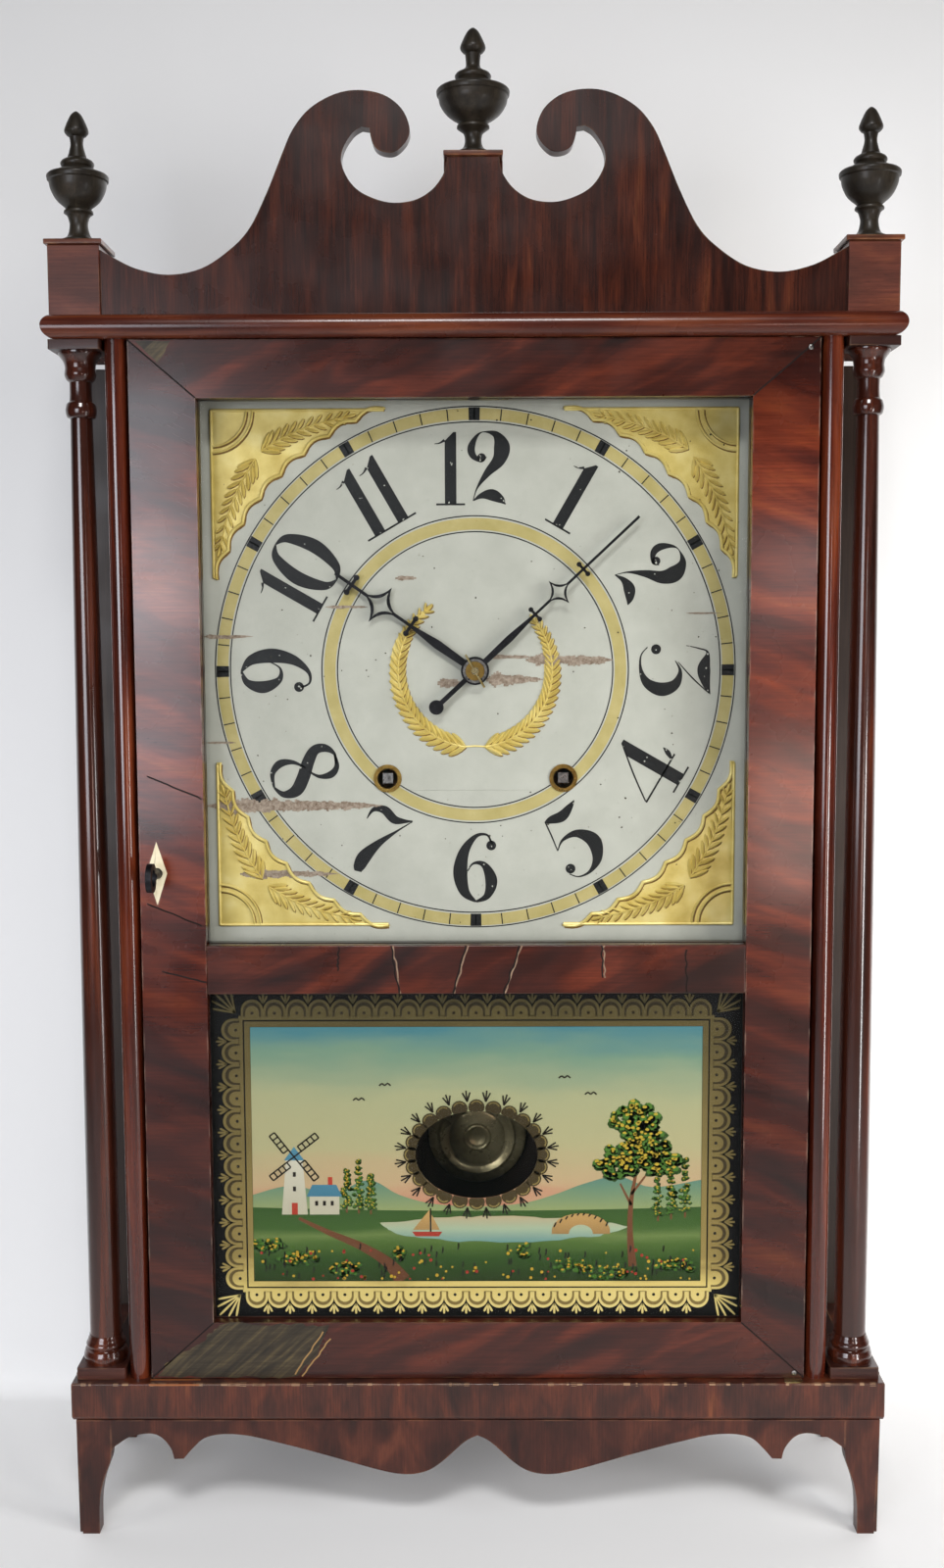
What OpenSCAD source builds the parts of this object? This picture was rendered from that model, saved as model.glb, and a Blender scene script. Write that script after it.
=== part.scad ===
// Pillar and scroll shelf clock with a wooden thirty-hour movement.
// Millimetres. +Z is up and the front faces -Y. The origin lies on the floor
// under the middle of the clock's outer box, key included.

/* [Case] */
// Width over the two case sides
case_w = 376; // [350:1:410]
// Thickness of each case side
side_t = 10; // [8:0.5:12]
// Distance from the base front back to the case sides
side_set = 11; // [9:0.5:14]
// Diameter of the half-round beads beside the door
bead_d = 11; // [9:0.5:13]
// Thickness of the backboard
back_t = 11.5; // [8:0.5:15]
// How far the backboard stands out past each end of the base
back_over = 2.5; // [1:0.5:6]
// Thickness of the case top board, which holds the pulleys
top_t = 20; // [18:1:28]

/* [Base] */
// Height of the feet, floor to the base band
feet_h = 64.3; // [58:0.1:75]
// Height of the base band
band_h = 21.3; // [18:0.1:28]
// How far the band stands out past the apron and the feet
band_step = 2; // [1:0.5:4]
// Bottom bevel of the base band
band_bevel = 2.4; // [1:0.2:4]
// Thickness of the base rails
rail_t = 12; // [10:0.5:16]
// Thickness of the case floor
floor_t = 15; // [12:0.5:18]
// Thickness of the apron and of the side skirts
skirt_t = 9; // [7:0.5:12]
// Width of a foot under the band
foot_w = 18.5; // [16:0.5:22]
// Width of a foot where it stands
toe_w = 9.1; // [7:0.1:12]
// How far a foot leans in from the band to the floor
foot_lean = 2; // [0.5:0.5:4]

/* [Pillars] */
// Width of the square plinth under a pillar and of the block above it
plinth_w = 26.4; // [24:0.2:32]
// Height of the square plinth
plinth_h = 6.5; // [5:0.5:10]
// Height of the square cap on a pillar
cap_h = 5; // [4:0.5:8]
// Gap between the case side and a plinth
bay_gap = 1.3; // [0.6:0.1:3]
// Step from a plinth to the end of the base
base_step = 2.3; // [1:0.1:5]
// Distance from the base front back to the plinths
plinth_set = 5; // [3:0.5:8]
// Diameter of the pillar's turned base ring
torus_d = 24; // [21:0.2:26]
// Diameter of the shaft at its foot
shaft_foot_d = 17; // [14:0.2:19]
// Diameter of the shaft at its neck
shaft_neck_d = 11.3; // [9:0.1:13]
// Diameter of the ring under the capital
ring_d = 16; // [14:0.2:19]

/* [Cornice and pediment] */
// Height of the bullnose cornice board
cornice_h = 12.1; // [9:0.1:16]
// Gap from the cornice's back edge to the backboard
cornice_gap = 15.5; // [4:0.5:24]
// Distance from the base front back to the scroll board
pediment_set = 11; // [8:0.5:16]
// Thickness of the scroll board
pediment_t = 9; // [7:0.5:12]
// Height of the blocks under the side finials
block_h = 35.5; // [30:0.5:45]
// Depth of those blocks
block_d = 29; // [24:0.5:34]
// Thickness of the caps under the finials
finial_cap_t = 2.6; // [2:0.1:5]
// How far a cap stands out past its block
finial_cap_lip = 1.5; // [0.5:0.1:3]
// Width of the center block behind the scroll board
center_block_w = 30; // [26:0.5:36]
// Height of the center block
center_block_h = 9.5; // [7:0.5:14]
// Depth of the center block
center_block_d = 17; // [14:0.5:24]

/* [Door] */
// Distance from the base front back to the door
door_set = 6; // [4:0.5:9]
// Thickness of the door
door_t = 17; // [14:0.5:22]
// Gap between the door and the beads
door_gap = 1.5; // [1.2:0.1:3]
// Gap above and below the door
door_end_gap = 0.4; // [0.2:0.1:1]
// Width of the stiles
stile_w = 34; // [30:0.5:40]
// Height of the top rail
top_rail_h = 29.2; // [25:0.2:36]
// Height of the dial opening
dial_open_h = 282.3; // [270:0.5:300]
// Height of the middle rail
mid_rail_h = 25.9; // [20:0.1:32]
// Height of the painted glass opening
tablet_open_h = 179.6; // [165:0.5:200]
// Height of the bottom rail
bottom_rail_h = 31; // [26:0.5:38]
// Wood left in front of the glass
lip_t = 6; // [4:0.5:8]
// Width of the rabbet behind that wood
rabbet_w = 6; // [4:0.5:8]
// Thickness of the glass
glass_t = 2; // [1.5:0.1:3]
// Thickness of the strips that hold the glass
strip_t = 5; // [3:0.5:7]
// Diameter of the wire hinge pins
hinge_d = 2.4; // [1.8:0.1:3]
// How deep a hinge pin enters the door
hinge_len = 8; // [5:0.5:12]
// Distance of the hinge axis from the door's edge
hinge_in = 3.5; // [3:0.1:4]
// Distance of the hinge axis from the door's front
hinge_back = 3; // [2.5:0.1:3.5]

/* [Lock] */
// Height of the keyhole above the door's bottom edge
lock_rise = 275; // [240:1:300]
// Distance of the keyhole from the door's edge
lock_in = 9; // [9:0.5:14]
// Width of the diamond escutcheon
escutcheon_w = 10.8; // [9:0.2:14]
// Height of the diamond escutcheon
escutcheon_h = 33.5; // [28:0.5:40]
// Thickness of the escutcheon
escutcheon_t = 2; // [1:0.1:3]
// Height of the lock case
lock_h = 40; // [36:0.5:50]
// Depth of the lock case
lock_d = 8.5; // [8:0.1:10]
// Diameter of the key's shaft
key_d = 5; // [4:0.1:5.6]
// Outer diameter of the key's ring bow
bow_d = 15; // [12:0.5:20]
// Thickness of the bow
bow_t = 3; // [2:0.1:4]
// Distance from the door's front to the bow
bow_gap = 8.5; // [5:0.5:12]
// Throw of the bolt
bolt_throw = 4.5; // [3.5:0.1:5]

/* [Dial and hands] */
// Space between the door and the dial
dial_gap = 10; // [9.5:0.1:14]
// Thickness of the dial board
dial_t = 8; // [6:0.5:10]
// Gap between the dial board and each case side
dial_side_gap = 8; // [4:0.5:10]
// Height of the dial's center above the middle of its opening
dial_rise = 1.8; // [0:0.1:4]
// Width of the strips that the dial is screwed to
dial_strip_w = 14; // [12:0.5:18]
// Outer diameter of the winding grommets
grommet_d = 15; // [13.5:0.1:18]
// Length of the minute hand
minute_len = 118; // [100:1:122]
// Length of the minute hand's tail
tail_len = 32; // [24:0.5:38]
// Length of the hour hand
hour_len = 90; // [75:1:96]
// Thickness of the hands
hand_t = 1.2; // [0.8:0.1:1.4]
// Half width of the minute hand's pierced diamond
minute_diamond = 8; // [6:0.5:10]
// Half width of the hour hand's pierced diamond
hour_diamond = 11; // [8:0.5:13]
// Direction of the minute hand, clockwise from twelve
minute_angle = 47; // [0:1:359]
// Direction of the hour hand, clockwise from twelve
hour_angle = 305; // [0:1:359]

/* [Movement] */
// Space between the dial board and the front plate
motion_space = 9; // [9:0.5:12]
// Thickness of the plates
plate_t = 5; // [4:0.5:7]
// Distance between the plates
plate_gap = 29; // [28.6:0.1:34]
// Space behind the back plate for the pendulum
swing_space = 14.5; // [14.5:0.5:20]
// Half width of the plates
plate_x = 100; // [98:0.5:110]
// Winding arbors: distance from the clock's middle
wind_x = 47; // [44:0.5:50]
// Winding arbors: distance below the dial's center
wind_drop = 57.5; // [54:0.5:62]
// Radius of the cord drums
drum_r = 19; // [16:0.5:20]
// Diameter of the weight cords
cord_d = 2.5; // [1.6:0.1:3]
// Pendulum length, from its pivot to the bob's middle
pendulum_len = 344; // [326:1:356]
// Diameter of the pendulum bob
bob_d = 57.5; // [50:0.5:64]
// Thickness of the bob at its middle
bob_t = 8.5; // [6:0.5:9]
// Diameter of the pendulum rod
rod_d = 2.4; // [1.8:0.1:3]

/* [Strike and weights] */
// Width of a weight
weight_w = 27; // [22:0.5:30]
// Depth of a weight
weight_d = 34; // [28:0.5:36]
// Height of a weight
weight_h = 150; // [120:1:180]
// Gap between a weight and the case side
weight_gap = 1.5; // [1:0.1:4]
// Radius of the pulley's groove
pulley_r = 8.5; // [7:0.1:8.6]
// Radius of the bell's mouth
bell_r = 32; // [28:0.5:34]
// Height of the bell's dome
bell_h = 25; // [20:0.5:30]
// Height of the bell's rim above the case floor
bell_rise = 24; // [18:0.5:34]
// Thickness of the bell
bell_t = 3; // [2:0.1:4]
// Distance of the bell from the clock's middle
bell_x = 75; // [74:0.5:80]

/* [Hidden] */
$fn = 64;
eps = 0.5;                                   // overshoot of a cut
play = 0.05;                                 // running clearance round a shaft
clear = 0.3;                                 // gap between moving neighbors
flats = 8;                                   // sides of a seat that must not turn
seam = 0.02;                                 // hairline between pieces glued or pressed together

mahogany = [0.30, 0.13, 0.09];
dark_mahogany = [0.17, 0.08, 0.06];
old_pine = [0.46, 0.33, 0.22];
ebonised = [0.13, 0.12, 0.11];
clear_glass = [0.80, 0.86, 0.88, 0.30];
painted_glass = [0.10, 0.10, 0.10];
brass = [0.70, 0.55, 0.28];
iron = [0.16, 0.16, 0.18];
bone = [0.86, 0.80, 0.68];
dial_white = [0.78, 0.79, 0.74];
cherry = [0.58, 0.36, 0.20];
oak = [0.62, 0.46, 0.28];
laurel = [0.70, 0.58, 0.40];
hemp = [0.72, 0.64, 0.48];

// Depth planes, front to back, and the outer box
case_d = door_set + door_t + dial_gap + dial_t + motion_space + 2 * plate_t + plate_gap
  + swing_space + back_t;
key_reach = bow_gap + bow_d - door_set;      // how far the key stands out past the base
front_y = (key_reach - case_d) / 2;
side_y = front_y + side_set;
door_y = front_y + door_set;
door_back_y = door_y + door_t;
glass_y = door_y + lip_t;
strip_y = glass_y + glass_t;
dial_y = door_back_y + dial_gap;
dial_back_y = dial_y + dial_t;
plate_y = dial_back_y + motion_space;
inside_y = plate_y + plate_t;
outside_y = inside_y + plate_gap;
behind_y = outside_y + plate_t;
back_y = behind_y + swing_space;
rear_y = back_y + back_t;
pendulum_y = (behind_y + back_y) / 2;

// Heights
base_top = feet_h + band_h;
door_z = base_top + door_end_gap;
tablet_z = door_z + bottom_rail_h;
tablet_top = tablet_z + tablet_open_h;
dial_open_z = tablet_top + mid_rail_h;
dial_open_top = dial_open_z + dial_open_h;
door_top = dial_open_top + top_rail_h;
case_top_z = door_top + door_end_gap;
cornice_top = case_top_z + cornice_h;
top_z = case_top_z - top_t;
dial_z = dial_open_z + dial_open_h / 2 + dial_rise;

// Widths
case_x = case_w / 2;
inner_x = case_x - side_t;
bead_x = case_x - bead_d / 2;
door_x = case_x - max(bead_d, side_t) - door_gap;
open_x = door_x - stile_w;
pillar_x = case_x + bay_gap + plinth_w / 2;
base_x = pillar_x + plinth_w / 2 + base_step;
back_x = base_x + back_over;
pillar_y = front_y + plinth_set + plinth_w / 2;
hinge_x = door_x - hinge_in;
hinge_y = door_y + hinge_back;
foot_x = base_x - band_step;
foot_y = front_y + band_step;

// Lock and key
lock_x = lock_in - door_x;
lock_z = door_z + lock_rise;
lock_y = door_back_y - lock_d;
lock_w = 22;
lock_wall = 1.7;
bolt_h = 7;
bit_len = 7;
bit_t = 2;
bit_drop = lock_h / 2 - lock_wall - bolt_h - clear;  // keyhole down to the bolt's top edge
bolt_in = 0.4;                               // how far the drawn bolt lies inside the door's edge
bolt_len = 15;

// Hands and their pipes
pipe_bore = 2;
hour_out = 4;                                // front of the hour hand before the dial
minute_out = 7;                              // front of the minute hand before the dial
hour_y = dial_y - hour_out;
minute_y = dial_y - minute_out;
collet_t = 1;
collet_r = 5;
taper_pin_r = 0.6;
taper_pin_half = 10;
taper_pin_lean = 30;                         // lean of the taper pin from the upright, degrees
arbor_tip = 0.5;                             // wood left in front of the taper pin
taper_pin_y = minute_y - collet_t - taper_pin_r - play;
arbor_tip_y = taper_pin_y - taper_pin_r - arbor_tip;
minute_spots = [43.5, 60.5, 78];             // inner bar, diamond and outer bar from the hand's middle
hour_spots = [41.4, 61, 79.3];
minute_widths = [3.8, 1.4, 1.1, 2.6];        // leaf, stem, diamond's strips and bar's ball ends
hour_widths = [4.8, 1.7, 1.6, 3];
cannon_r = 3.2;
cannon_seat_r = 2.9;
hour_pipe_r = 4.8;
hour_seat_r = 4.2;
dial_hole_r = 6;
grommet_r = 6.4;
grommet_bore_r = 5.4;
grommet_lip = 0.8;

// Motion work: the hour wheel turns once for twelve turns of the cannon pinion
motion_mod = 1;
cannon_teeth = 10;
motion_teeth = 30;
motion_leaves = 8;
hour_teeth = 32;
motion_dist = motion_mod * (cannon_teeth + motion_teeth) / 2;
motion_gear_t = 2.6;
cannon_gear_y = plate_y - 0.6 - motion_gear_t;
hour_gear_y = cannon_gear_y - clear - motion_gear_t;

// Going train, arbors as [x, z] from the dial's center
great_teeth = 78;
center_leaves = 12;
center_teeth = 64;
third_leaves = 8;
third_teeth = 74;
escape_leaves = 8;
escape_teeth = 42;
escape_r = 24;
wind_dist = norm([wind_x, wind_drop]);
great_mod = 2 * wind_dist / (great_teeth + center_leaves);
center_mod = 1;
third_mod = 0.8;
third_angle = 35.4;
third_dist = center_mod * (center_teeth + third_leaves) / 2;
third_at = third_dist * [cos(third_angle), sin(third_angle)];
escape_dist = third_mod * (third_teeth + escape_leaves) / 2;
escape_z = third_at[1] + sqrt(escape_dist * escape_dist - third_at[0] * third_at[0]);
verge_z = escape_z + escape_r * sqrt(2);
wind_at = [wind_x, -wind_drop];

// Layers of the train behind the front plate
great_t = 3.5;
time_great_y = inside_y + 1.5;
strike_great_y = time_great_y + great_t + 1;
center_wheel_y = strike_great_y + great_t + 1.5;
wheel_t = 3;
third_wheel_y = center_wheel_y + wheel_t + 2.5;
fine_t = 2.5;
escape_wheel_y = third_wheel_y + fine_t + 3;
pinion_over = 1;                             // a pinion is this much longer than its wheel, each side
arbor_r = 3.2;
slim_arbor_r = 2.5;                          // third wheel
fine_arbor_r = 1.9;                          // escape wheel and fly
pivot_r = 1.6;
journal_r = 2.6;
winding_r = 3.6;
square_w = 5.5;
drum_arbor_r = 5;
drum_flange_r = drum_r + 3;
drum_flange_t = 2;
end_shake = 0.4;                             // end play of an arbor between the plates
drum_end_y = outside_y - end_shake - 1;
cord_y = drum_end_y - 6;

// Strike train
pin_angle = 100;
pin_at = [-wind_at[0], wind_at[1]] + wind_dist * [cos(pin_angle), sin(pin_angle)];
pin_teeth = 64;
pin_mod = 0.8;
fly_leaves = 8;
fly_angle = 74;
fly_at = pin_at + pin_mod * (pin_teeth + fly_leaves) / 2 * [cos(fly_angle), sin(fly_angle)];
fly_r = 17;
fly_t = 1.6;
pin_count = 8;
pin_ring_r = 21;
pin_len = 4;
pin_r = 0.8;

// Plate pillars, as [x, z] from the dial's center, clear of the great wheels
plate_margin = 10;
plate_low = wind_drop + wind_dist;
plate_crown = 24;                            // plate above the verge's arbor
plate_high = verge_z + plate_crown;
pillar_spots = [for (s = [-1, 1]) for (z = [plate_margin - plate_low, plate_high - plate_margin])
  [s * (plate_x - plate_margin), z]];
plate_pillar_r = 6;
plate_tenon_r = 4;

// Pendulum and verge
bob_z = dial_z + verge_z - pendulum_len;
cock_w = 12;
cock_t = 3;
cock_rise = 12;
pivot_pin_r = 1.5;
eye_r = 4;
eye_t = 2.4;
swing = 3;                                   // half swing of the pendulum, degrees
arm_w = 3;
arm_off = escape_r * sin(swing) + clear;     // keeps the pallets off the wheel over the whole swing
crutch_len = 45;

// Weights, pulleys and cords
weight_x = inner_x - weight_gap - weight_w / 2;
weight_z = base_top + 0.5;
hook_h = 14;
hook_r = 6;
hook_wire_r = 1.2;
cord_r = cord_d / 2;
pulley_line = pulley_r + cord_r + clear;     // radius of the cord's middle round the pulley
pulley_flange_r = pulley_r + 2;
pulley_t = 7;
pulley_axle_r = 1.6;
pulley_x = weight_x - pulley_line;
pulley_z = case_top_z - pulley_line - cord_r - 1;
pulley_slot_gap = 1.2;

// Bell and hammer
bell_at = [-bell_x, (door_back_y + back_y) / 2 + 4];
bell_post_r = 4;
bell_nut_r = 6;
bell_nut_h = 5;
hammer_at = [-96, -5];
hammer_r = 2;
hammer_wire_r = 1.2;
hammer_y = plate_y - 3.4;
hammer_arm_t = 3;
head_len = 12;
head_r = 4.5;
head_z = base_top + bell_rise + 6;
tail_end = norm(hammer_at - pin_at) - pin_ring_r - pin_r - 0.6;

// Apron's lower edge, middle to the cusp and cusp to the foot, from the floor
apron_wave = [[0, 55.7], [7, 52], [19, 41], [28, 35.4], [39, 33.8], [53, 36.2], [84, 45.3], [107, 51.6],
  [124, 55.6], [137, 56.4], [147, 54.2], [153.5, 48.4], [158.5, 42.6]];
apron_arch = [[163.6, 42.4], [165.4, 48.6], [170.5, 54.8], [177, 56.8], [187, 55], [194, 50.6], [199.5, 46.4]];
// Side skirt's lower edge from the front foot to the rear foot, as [depth, height]
skirt_wave = [[0, 46.4], [8, 54], [18, 57], [36, 53], [50, 47.5], [64, 53], [72, 55], [78, 52], [82, 44]];
skirt_toe = [[86, 32], [90, 18], [91, 0]];
// Inner edge of a foot from the toe up, as [share of the flare, height]
foot_edge = [[0, 0], [0.04, 16], [0.26, 27], [0.66, 36], [0.93, 42], [1, 50]];

// Scroll board, right half from the side block in to the middle, heights above the cornice
scroll_rise = [[189.3, 33], [183, 29.4], [171, 23.6], [155, 20.5], [138, 23.5], [123, 33], [113, 43.5], [104, 61],
  [96, 80], [90.5, 91.6], [82, 101.5], [69.6, 108.3], [57.4, 110.3], [45, 108], [36, 101.4], [32, 92.5],
  [33.2, 86], [38.6, 80.6], [44, 79.9], [49, 82.1], [51.4, 87.4], [52, 91.9]];
scroll_cup = [[56, 92.5], [60.6, 89.5], [65.4, 82.1], [66.3, 74.5], [62, 65.5], [54.7, 59.5], [42.4, 55.5], [30, 56.5],
  [21, 61.5], [15.4, 68.5], [13.4, 74.5]];
center_top = 78.1;                           // scroll board's top edge under the center cap
center_half = 13.2;                          // half its width there
// Pillar turnings, lower end up: distances in from the base ring's radius and heights from its foot
base_rings = [[[0.4, 0.8], [0, 3.4], [0.9, 6.4]], [[2.1, 7.2], [1.4, 9.4], [2.4, 11.6]]];
shaft_flare = [[1, 12.4], [0.2, 14.6], [0, 18]];    // out from the shaft's foot
shaft_swell = [[0.04, 0.22], [0.28, 0.5], [0.68, 0.78]];  // share of the taper and of the height
neck_ring = [[2.2, 33.4], [0.7, 32.4], [0, 29], [0.7, 25.8]];  // in from the ring, down from the top
neck_run = [[0.3, 24.6], [0, 21], [0, 15]];
cap_ring = [[1, 14], [0, 11.4], [0.2, 8.6]];
cap_flare = [[4.3, 8], [3.7, 5], [1.4, 1.6], [1, 0]];
block_z = cornice_top + block_h;
center_cap_z = cornice_top + center_top;
center_y = front_y + pediment_set + (pediment_t + center_block_d) / 2;
block_y = front_y + pediment_set - 1.5;
side_finial_y = block_y + block_d / 2;

// Turned finials: diameters at foot, stem, collar, bowl rim, upper ring, neck and acorn,
// then the heights of stem, collar, rim, upper ring, neck, acorn and tip above the cap
center_finial_d = [20.5, 8.6, 16.7, 37.3, 18.5, 7.2, 12.9];
center_finial_h = [7.5, 15, 32.4, 40.4, 45, 54.4, 63.8];
side_finial_d = [20.6, 9.3, 14.9, 31.3, 17, 6.5, 12.2];
side_finial_h = [9.4, 16.4, 34, 41, 49.5, 57.2, 66.6];

// One point of a smooth curve through four points, t from 0 at the second to 1 at the third
function bend(a, b, c, d, t) =
  0.5 * (2 * b + (c - a) * t + (2 * a - 5 * b + 4 * c - d) * t * t + (3 * b - a - 3 * c + d) * t * t * t);
// A smooth curve through a list of points
function smooth(pts, steps = 5) = concat(
  [for (i = [0 : len(pts) - 2]) for (k = [0 : steps - 1])
    bend(pts[max(i - 1, 0)], pts[i], pts[i + 1], pts[min(i + 2, len(pts) - 1)], k / steps)],
  [pts[len(pts) - 1]]);
function flip(pts) = [for (p = pts) [-p[0], p[1]]];
function back_to_front(pts) = [for (i = [len(pts) - 1 : -1 : 0]) pts[i]];
function polar(r, a) = r * [cos(a), sin(a)];
function heading(v) = atan2(v[1], v[0]);
// Outline of a toothed wheel: radii at root and tip, shares of the pitch there, first tooth's direction
function teeth(n, root, tip, root_share, tip_share, phase) = [for (i = [0 : n - 1])
  for (p = [[root, -root_share], [tip, -tip_share], [tip, tip_share], [root, root_share]])
    polar(p[0], phase + (i + p[1] / 2) * 360 / n)];

module block(x, y, z) {
  translate([x[0], y[0], z[0]])
    cube([x[1] - x[0], y[1] - y[0], z[1] - z[0]]);
}

// A flat shape drawn in front view, filling the depths y
module slab(y) {
  translate([0, y[1], 0])
    rotate([90, 0, 0])
      linear_extrude(y[1] - y[0])
        children();
}

// A round rod along the depth at [x, z]
module rod(at, r, y, sides = 64) {
  translate([at[0], y[1], at[1]])
    rotate([90, 0, 0])
      cylinder(r = r, h = y[1] - y[0], $fn = sides);
}

module both_sides() {
  children();
  mirror([1, 0, 0])
    children();
}

// Moves front-view pieces from the dial's center to the clock's frame
module at_dial() {
  translate([0, 0, dial_z])
    children();
}

module base_rails() {
  profile = [[0, base_top], [0, feet_h + band_bevel], [band_bevel, feet_h], [rail_t, feet_h], [rail_t, base_top]];
  color(mahogany) {
    translate([-base_x, front_y, 0])
      rotate([90, 0, 90])
        linear_extrude(2 * base_x)
          polygon(profile);
    both_sides()
      translate([base_x, front_y + rail_t + seam, 0])
        rotate([90, 0, 180])
          linear_extrude(back_y - front_y - rail_t - seam)
            polygon(profile);
  }
}

module case_floor() {
  color(old_pine)
    block([rail_t - base_x, base_x - rail_t], [front_y + rail_t, back_y], [base_top - floor_t, base_top]);
}

module apron() {
  edge = concat(smooth(apron_wave), smooth(apron_arch));
  inner = foot_x - foot_w;
  low = [for (p = edge) if (p[0] < inner) p];
  last = edge[len(edge) - 1];
  color(dark_mahogany)
    slab([foot_y, foot_y + skirt_t])
      polygon(concat([[inner, feet_h], [inner, last[1]]], back_to_front(low), flip(low),
        [[-inner, last[1]], [-inner, feet_h]]));
}

// One foot's face, drawn from its outer edge inward
module foot_face() {
  flare = foot_w - foot_lean - toe_w;
  edge = smooth([for (p = foot_edge) [foot_lean + toe_w + p[0] * flare, p[1]]]);
  polygon(concat([[0, feet_h], [foot_lean, 0]], edge, [[foot_w, feet_h]]));
}

module front_feet() {
  color(dark_mahogany)
    both_sides()
      union() {
        translate([foot_x, 0, 0])
          mirror([1, 0, 0])
            slab([foot_y, foot_y + skirt_t])
              foot_face();
        translate([foot_x - skirt_t, foot_y, 0])
          rotate([90, 0, 90])
            linear_extrude(skirt_t)
              foot_face();
      }
}

module side_skirts() {
  start = foot_y + foot_w;
  stretch = (rear_y - start) / (skirt_toe[len(skirt_toe) - 1][0] + toe_w);
  edge = concat(smooth(skirt_wave), smooth(skirt_toe));
  color(dark_mahogany)
    both_sides()
      translate([foot_x - skirt_t, start, 0])
        rotate([90, 0, 90])
          linear_extrude(skirt_t)
            polygon(concat([[0, feet_h]], [for (p = edge) [p[0] * stretch, p[1]]],
              [[rear_y - start, 0], [rear_y - start, feet_h]]));
}

module case_sides() {
  color(mahogany)
    difference() {
      both_sides()
        block([inner_x, case_x], [side_y, back_y], [base_top, case_top_z]);
      block([-inner_x - bolt_throw, eps - inner_x],
        [lock_y + lock_wall - eps, door_back_y - lock_wall + eps],
        [lock_z - bit_drop - bolt_h - eps, lock_z - bit_drop + eps]);
    }
}

module case_top() {
  slot = pulley_t / 2 + pulley_slot_gap;
  reach = pulley_flange_r + pulley_slot_gap + 2 * cord_d;
  color(old_pine)
    difference() {
      block([-inner_x, inner_x], [door_back_y + clear + eps, back_y], [top_z, case_top_z]);
      both_sides()
        union() {
          block([pulley_x - reach, min(pulley_x + reach, inner_x - eps)], [cord_y - slot, cord_y + slot],
            [top_z - eps, case_top_z + eps]);
          rod([pulley_x, pulley_z], pulley_axle_r + play, [cord_y - slot - plate_t, back_y + eps]);
        }
    }
}

module backboard() {
  color(old_pine)
    block([-back_x, back_x], [back_y, rear_y], [feet_h, case_top_z]);
}

module front_beads() {
  color(mahogany)
    both_sides()
      translate([bead_x, side_y, base_top])
        linear_extrude(case_top_z - base_top)
          difference() {
            circle(d = bead_d);
            translate([-bead_d, 0])
              square(2 * bead_d);
          }
}

// A board with a rounded edge at each end of its length
module bullnose(length) {
  r = cornice_h / 2;
  translate([r, 0])
    circle(r = r);
  translate([r, -r])
    square([length - r, cornice_h]);
}

module cornice() {
  depth = back_y - cornice_gap - front_y;
  mid_z = case_top_z + cornice_h / 2;
  color(mahogany)
    intersection() {
      translate([-base_x, front_y, mid_z])
        rotate([90, 0, 90])
          linear_extrude(2 * base_x)
            bullnose(depth);
      translate([0, front_y + depth, mid_z])
        rotate([90, 0, 0])
          linear_extrude(depth)
            both_sides()
              translate([base_x, 0])
                mirror([1, 0])
                  bullnose(base_x);
    }
}

// Half outline of a pillar: base rings, tapered shaft, neck ring and capital
module pillar_profile(h) {
  torus = torus_d / 2;
  foot = shaft_foot_d / 2;
  neck = shaft_neck_d / 2;
  ring = ring_d / 2;
  polygon(concat([[0, 0], [torus - base_rings[0][0][0], 0]],
    smooth([for (p = base_rings[0]) [torus - p[0], p[1]]]),
    smooth([for (p = base_rings[1]) [torus - p[0], p[1]]]),
    smooth(concat([for (p = shaft_flare) [foot + p[0], p[1]]],
      [for (p = shaft_swell) [foot + (neck - foot) * p[0], h * p[1]]], [[neck, h - neck_ring[0][1]]])),
    smooth([for (p = neck_ring) [ring - p[0], h - p[1]]]),
    smooth([for (p = neck_run) [neck + p[0], h - p[1]]]),
    smooth([for (p = cap_ring) [ring - p[0], h - p[1]]]),
    smooth([for (p = cap_flare) [torus - p[0], h - p[1]]]), [[0, h]]));
}

module pillars() {
  color(dark_mahogany)
    both_sides()
      translate([pillar_x, pillar_y, base_top + plinth_h])
        rotate_extrude()
          pillar_profile(case_top_z - cap_h - base_top - plinth_h);
}

module pillar_blocks() {
  half = plinth_w / 2;
  color(dark_mahogany)
    both_sides()
      for (z = [[base_top, base_top + plinth_h], [case_top_z - cap_h, case_top_z]])
        block([pillar_x - half, pillar_x + half], [pillar_y - half, pillar_y + half], z);
}

module scroll_pediment() {
  rise = smooth(scroll_rise);
  low = [for (p = rise) if (p[0] < pillar_x - plinth_w / 2) p];
  half = concat([[pillar_x - plinth_w / 2, 0], [pillar_x - plinth_w / 2, scroll_rise[0][1]]], low, smooth(scroll_cup),
    [[center_half, center_top]]);
  color(mahogany)
    translate([0, 0, cornice_top])
      slab([front_y + pediment_set, front_y + pediment_set + pediment_t])
        polygon(concat(half, back_to_front(flip(half))));
}

module plinth_blocks() {
  half = plinth_w / 2;
  board_y = front_y + pediment_set + pediment_t;
  color(mahogany) {
    both_sides()
      block([pillar_x - half, pillar_x + half], [block_y, block_y + block_d], [cornice_top, block_z]);
    block([-center_block_w / 2, center_block_w / 2], [board_y, board_y + center_block_d],
      [center_cap_z - center_block_h, center_cap_z]);
  }
}

module plinth_caps() {
  half = plinth_w / 2 + finial_cap_lip;
  color(mahogany) {
    both_sides()
      block([pillar_x - half, pillar_x + half], [block_y - finial_cap_lip, block_y + block_d + finial_cap_lip],
        [block_z, block_z + finial_cap_t]);
    block([-center_block_w / 2, center_block_w / 2],
      [front_y + pediment_set - finial_cap_lip, front_y + pediment_set + pediment_t + center_block_d],
      [center_cap_z, center_cap_z + finial_cap_t]);
  }
}

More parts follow.
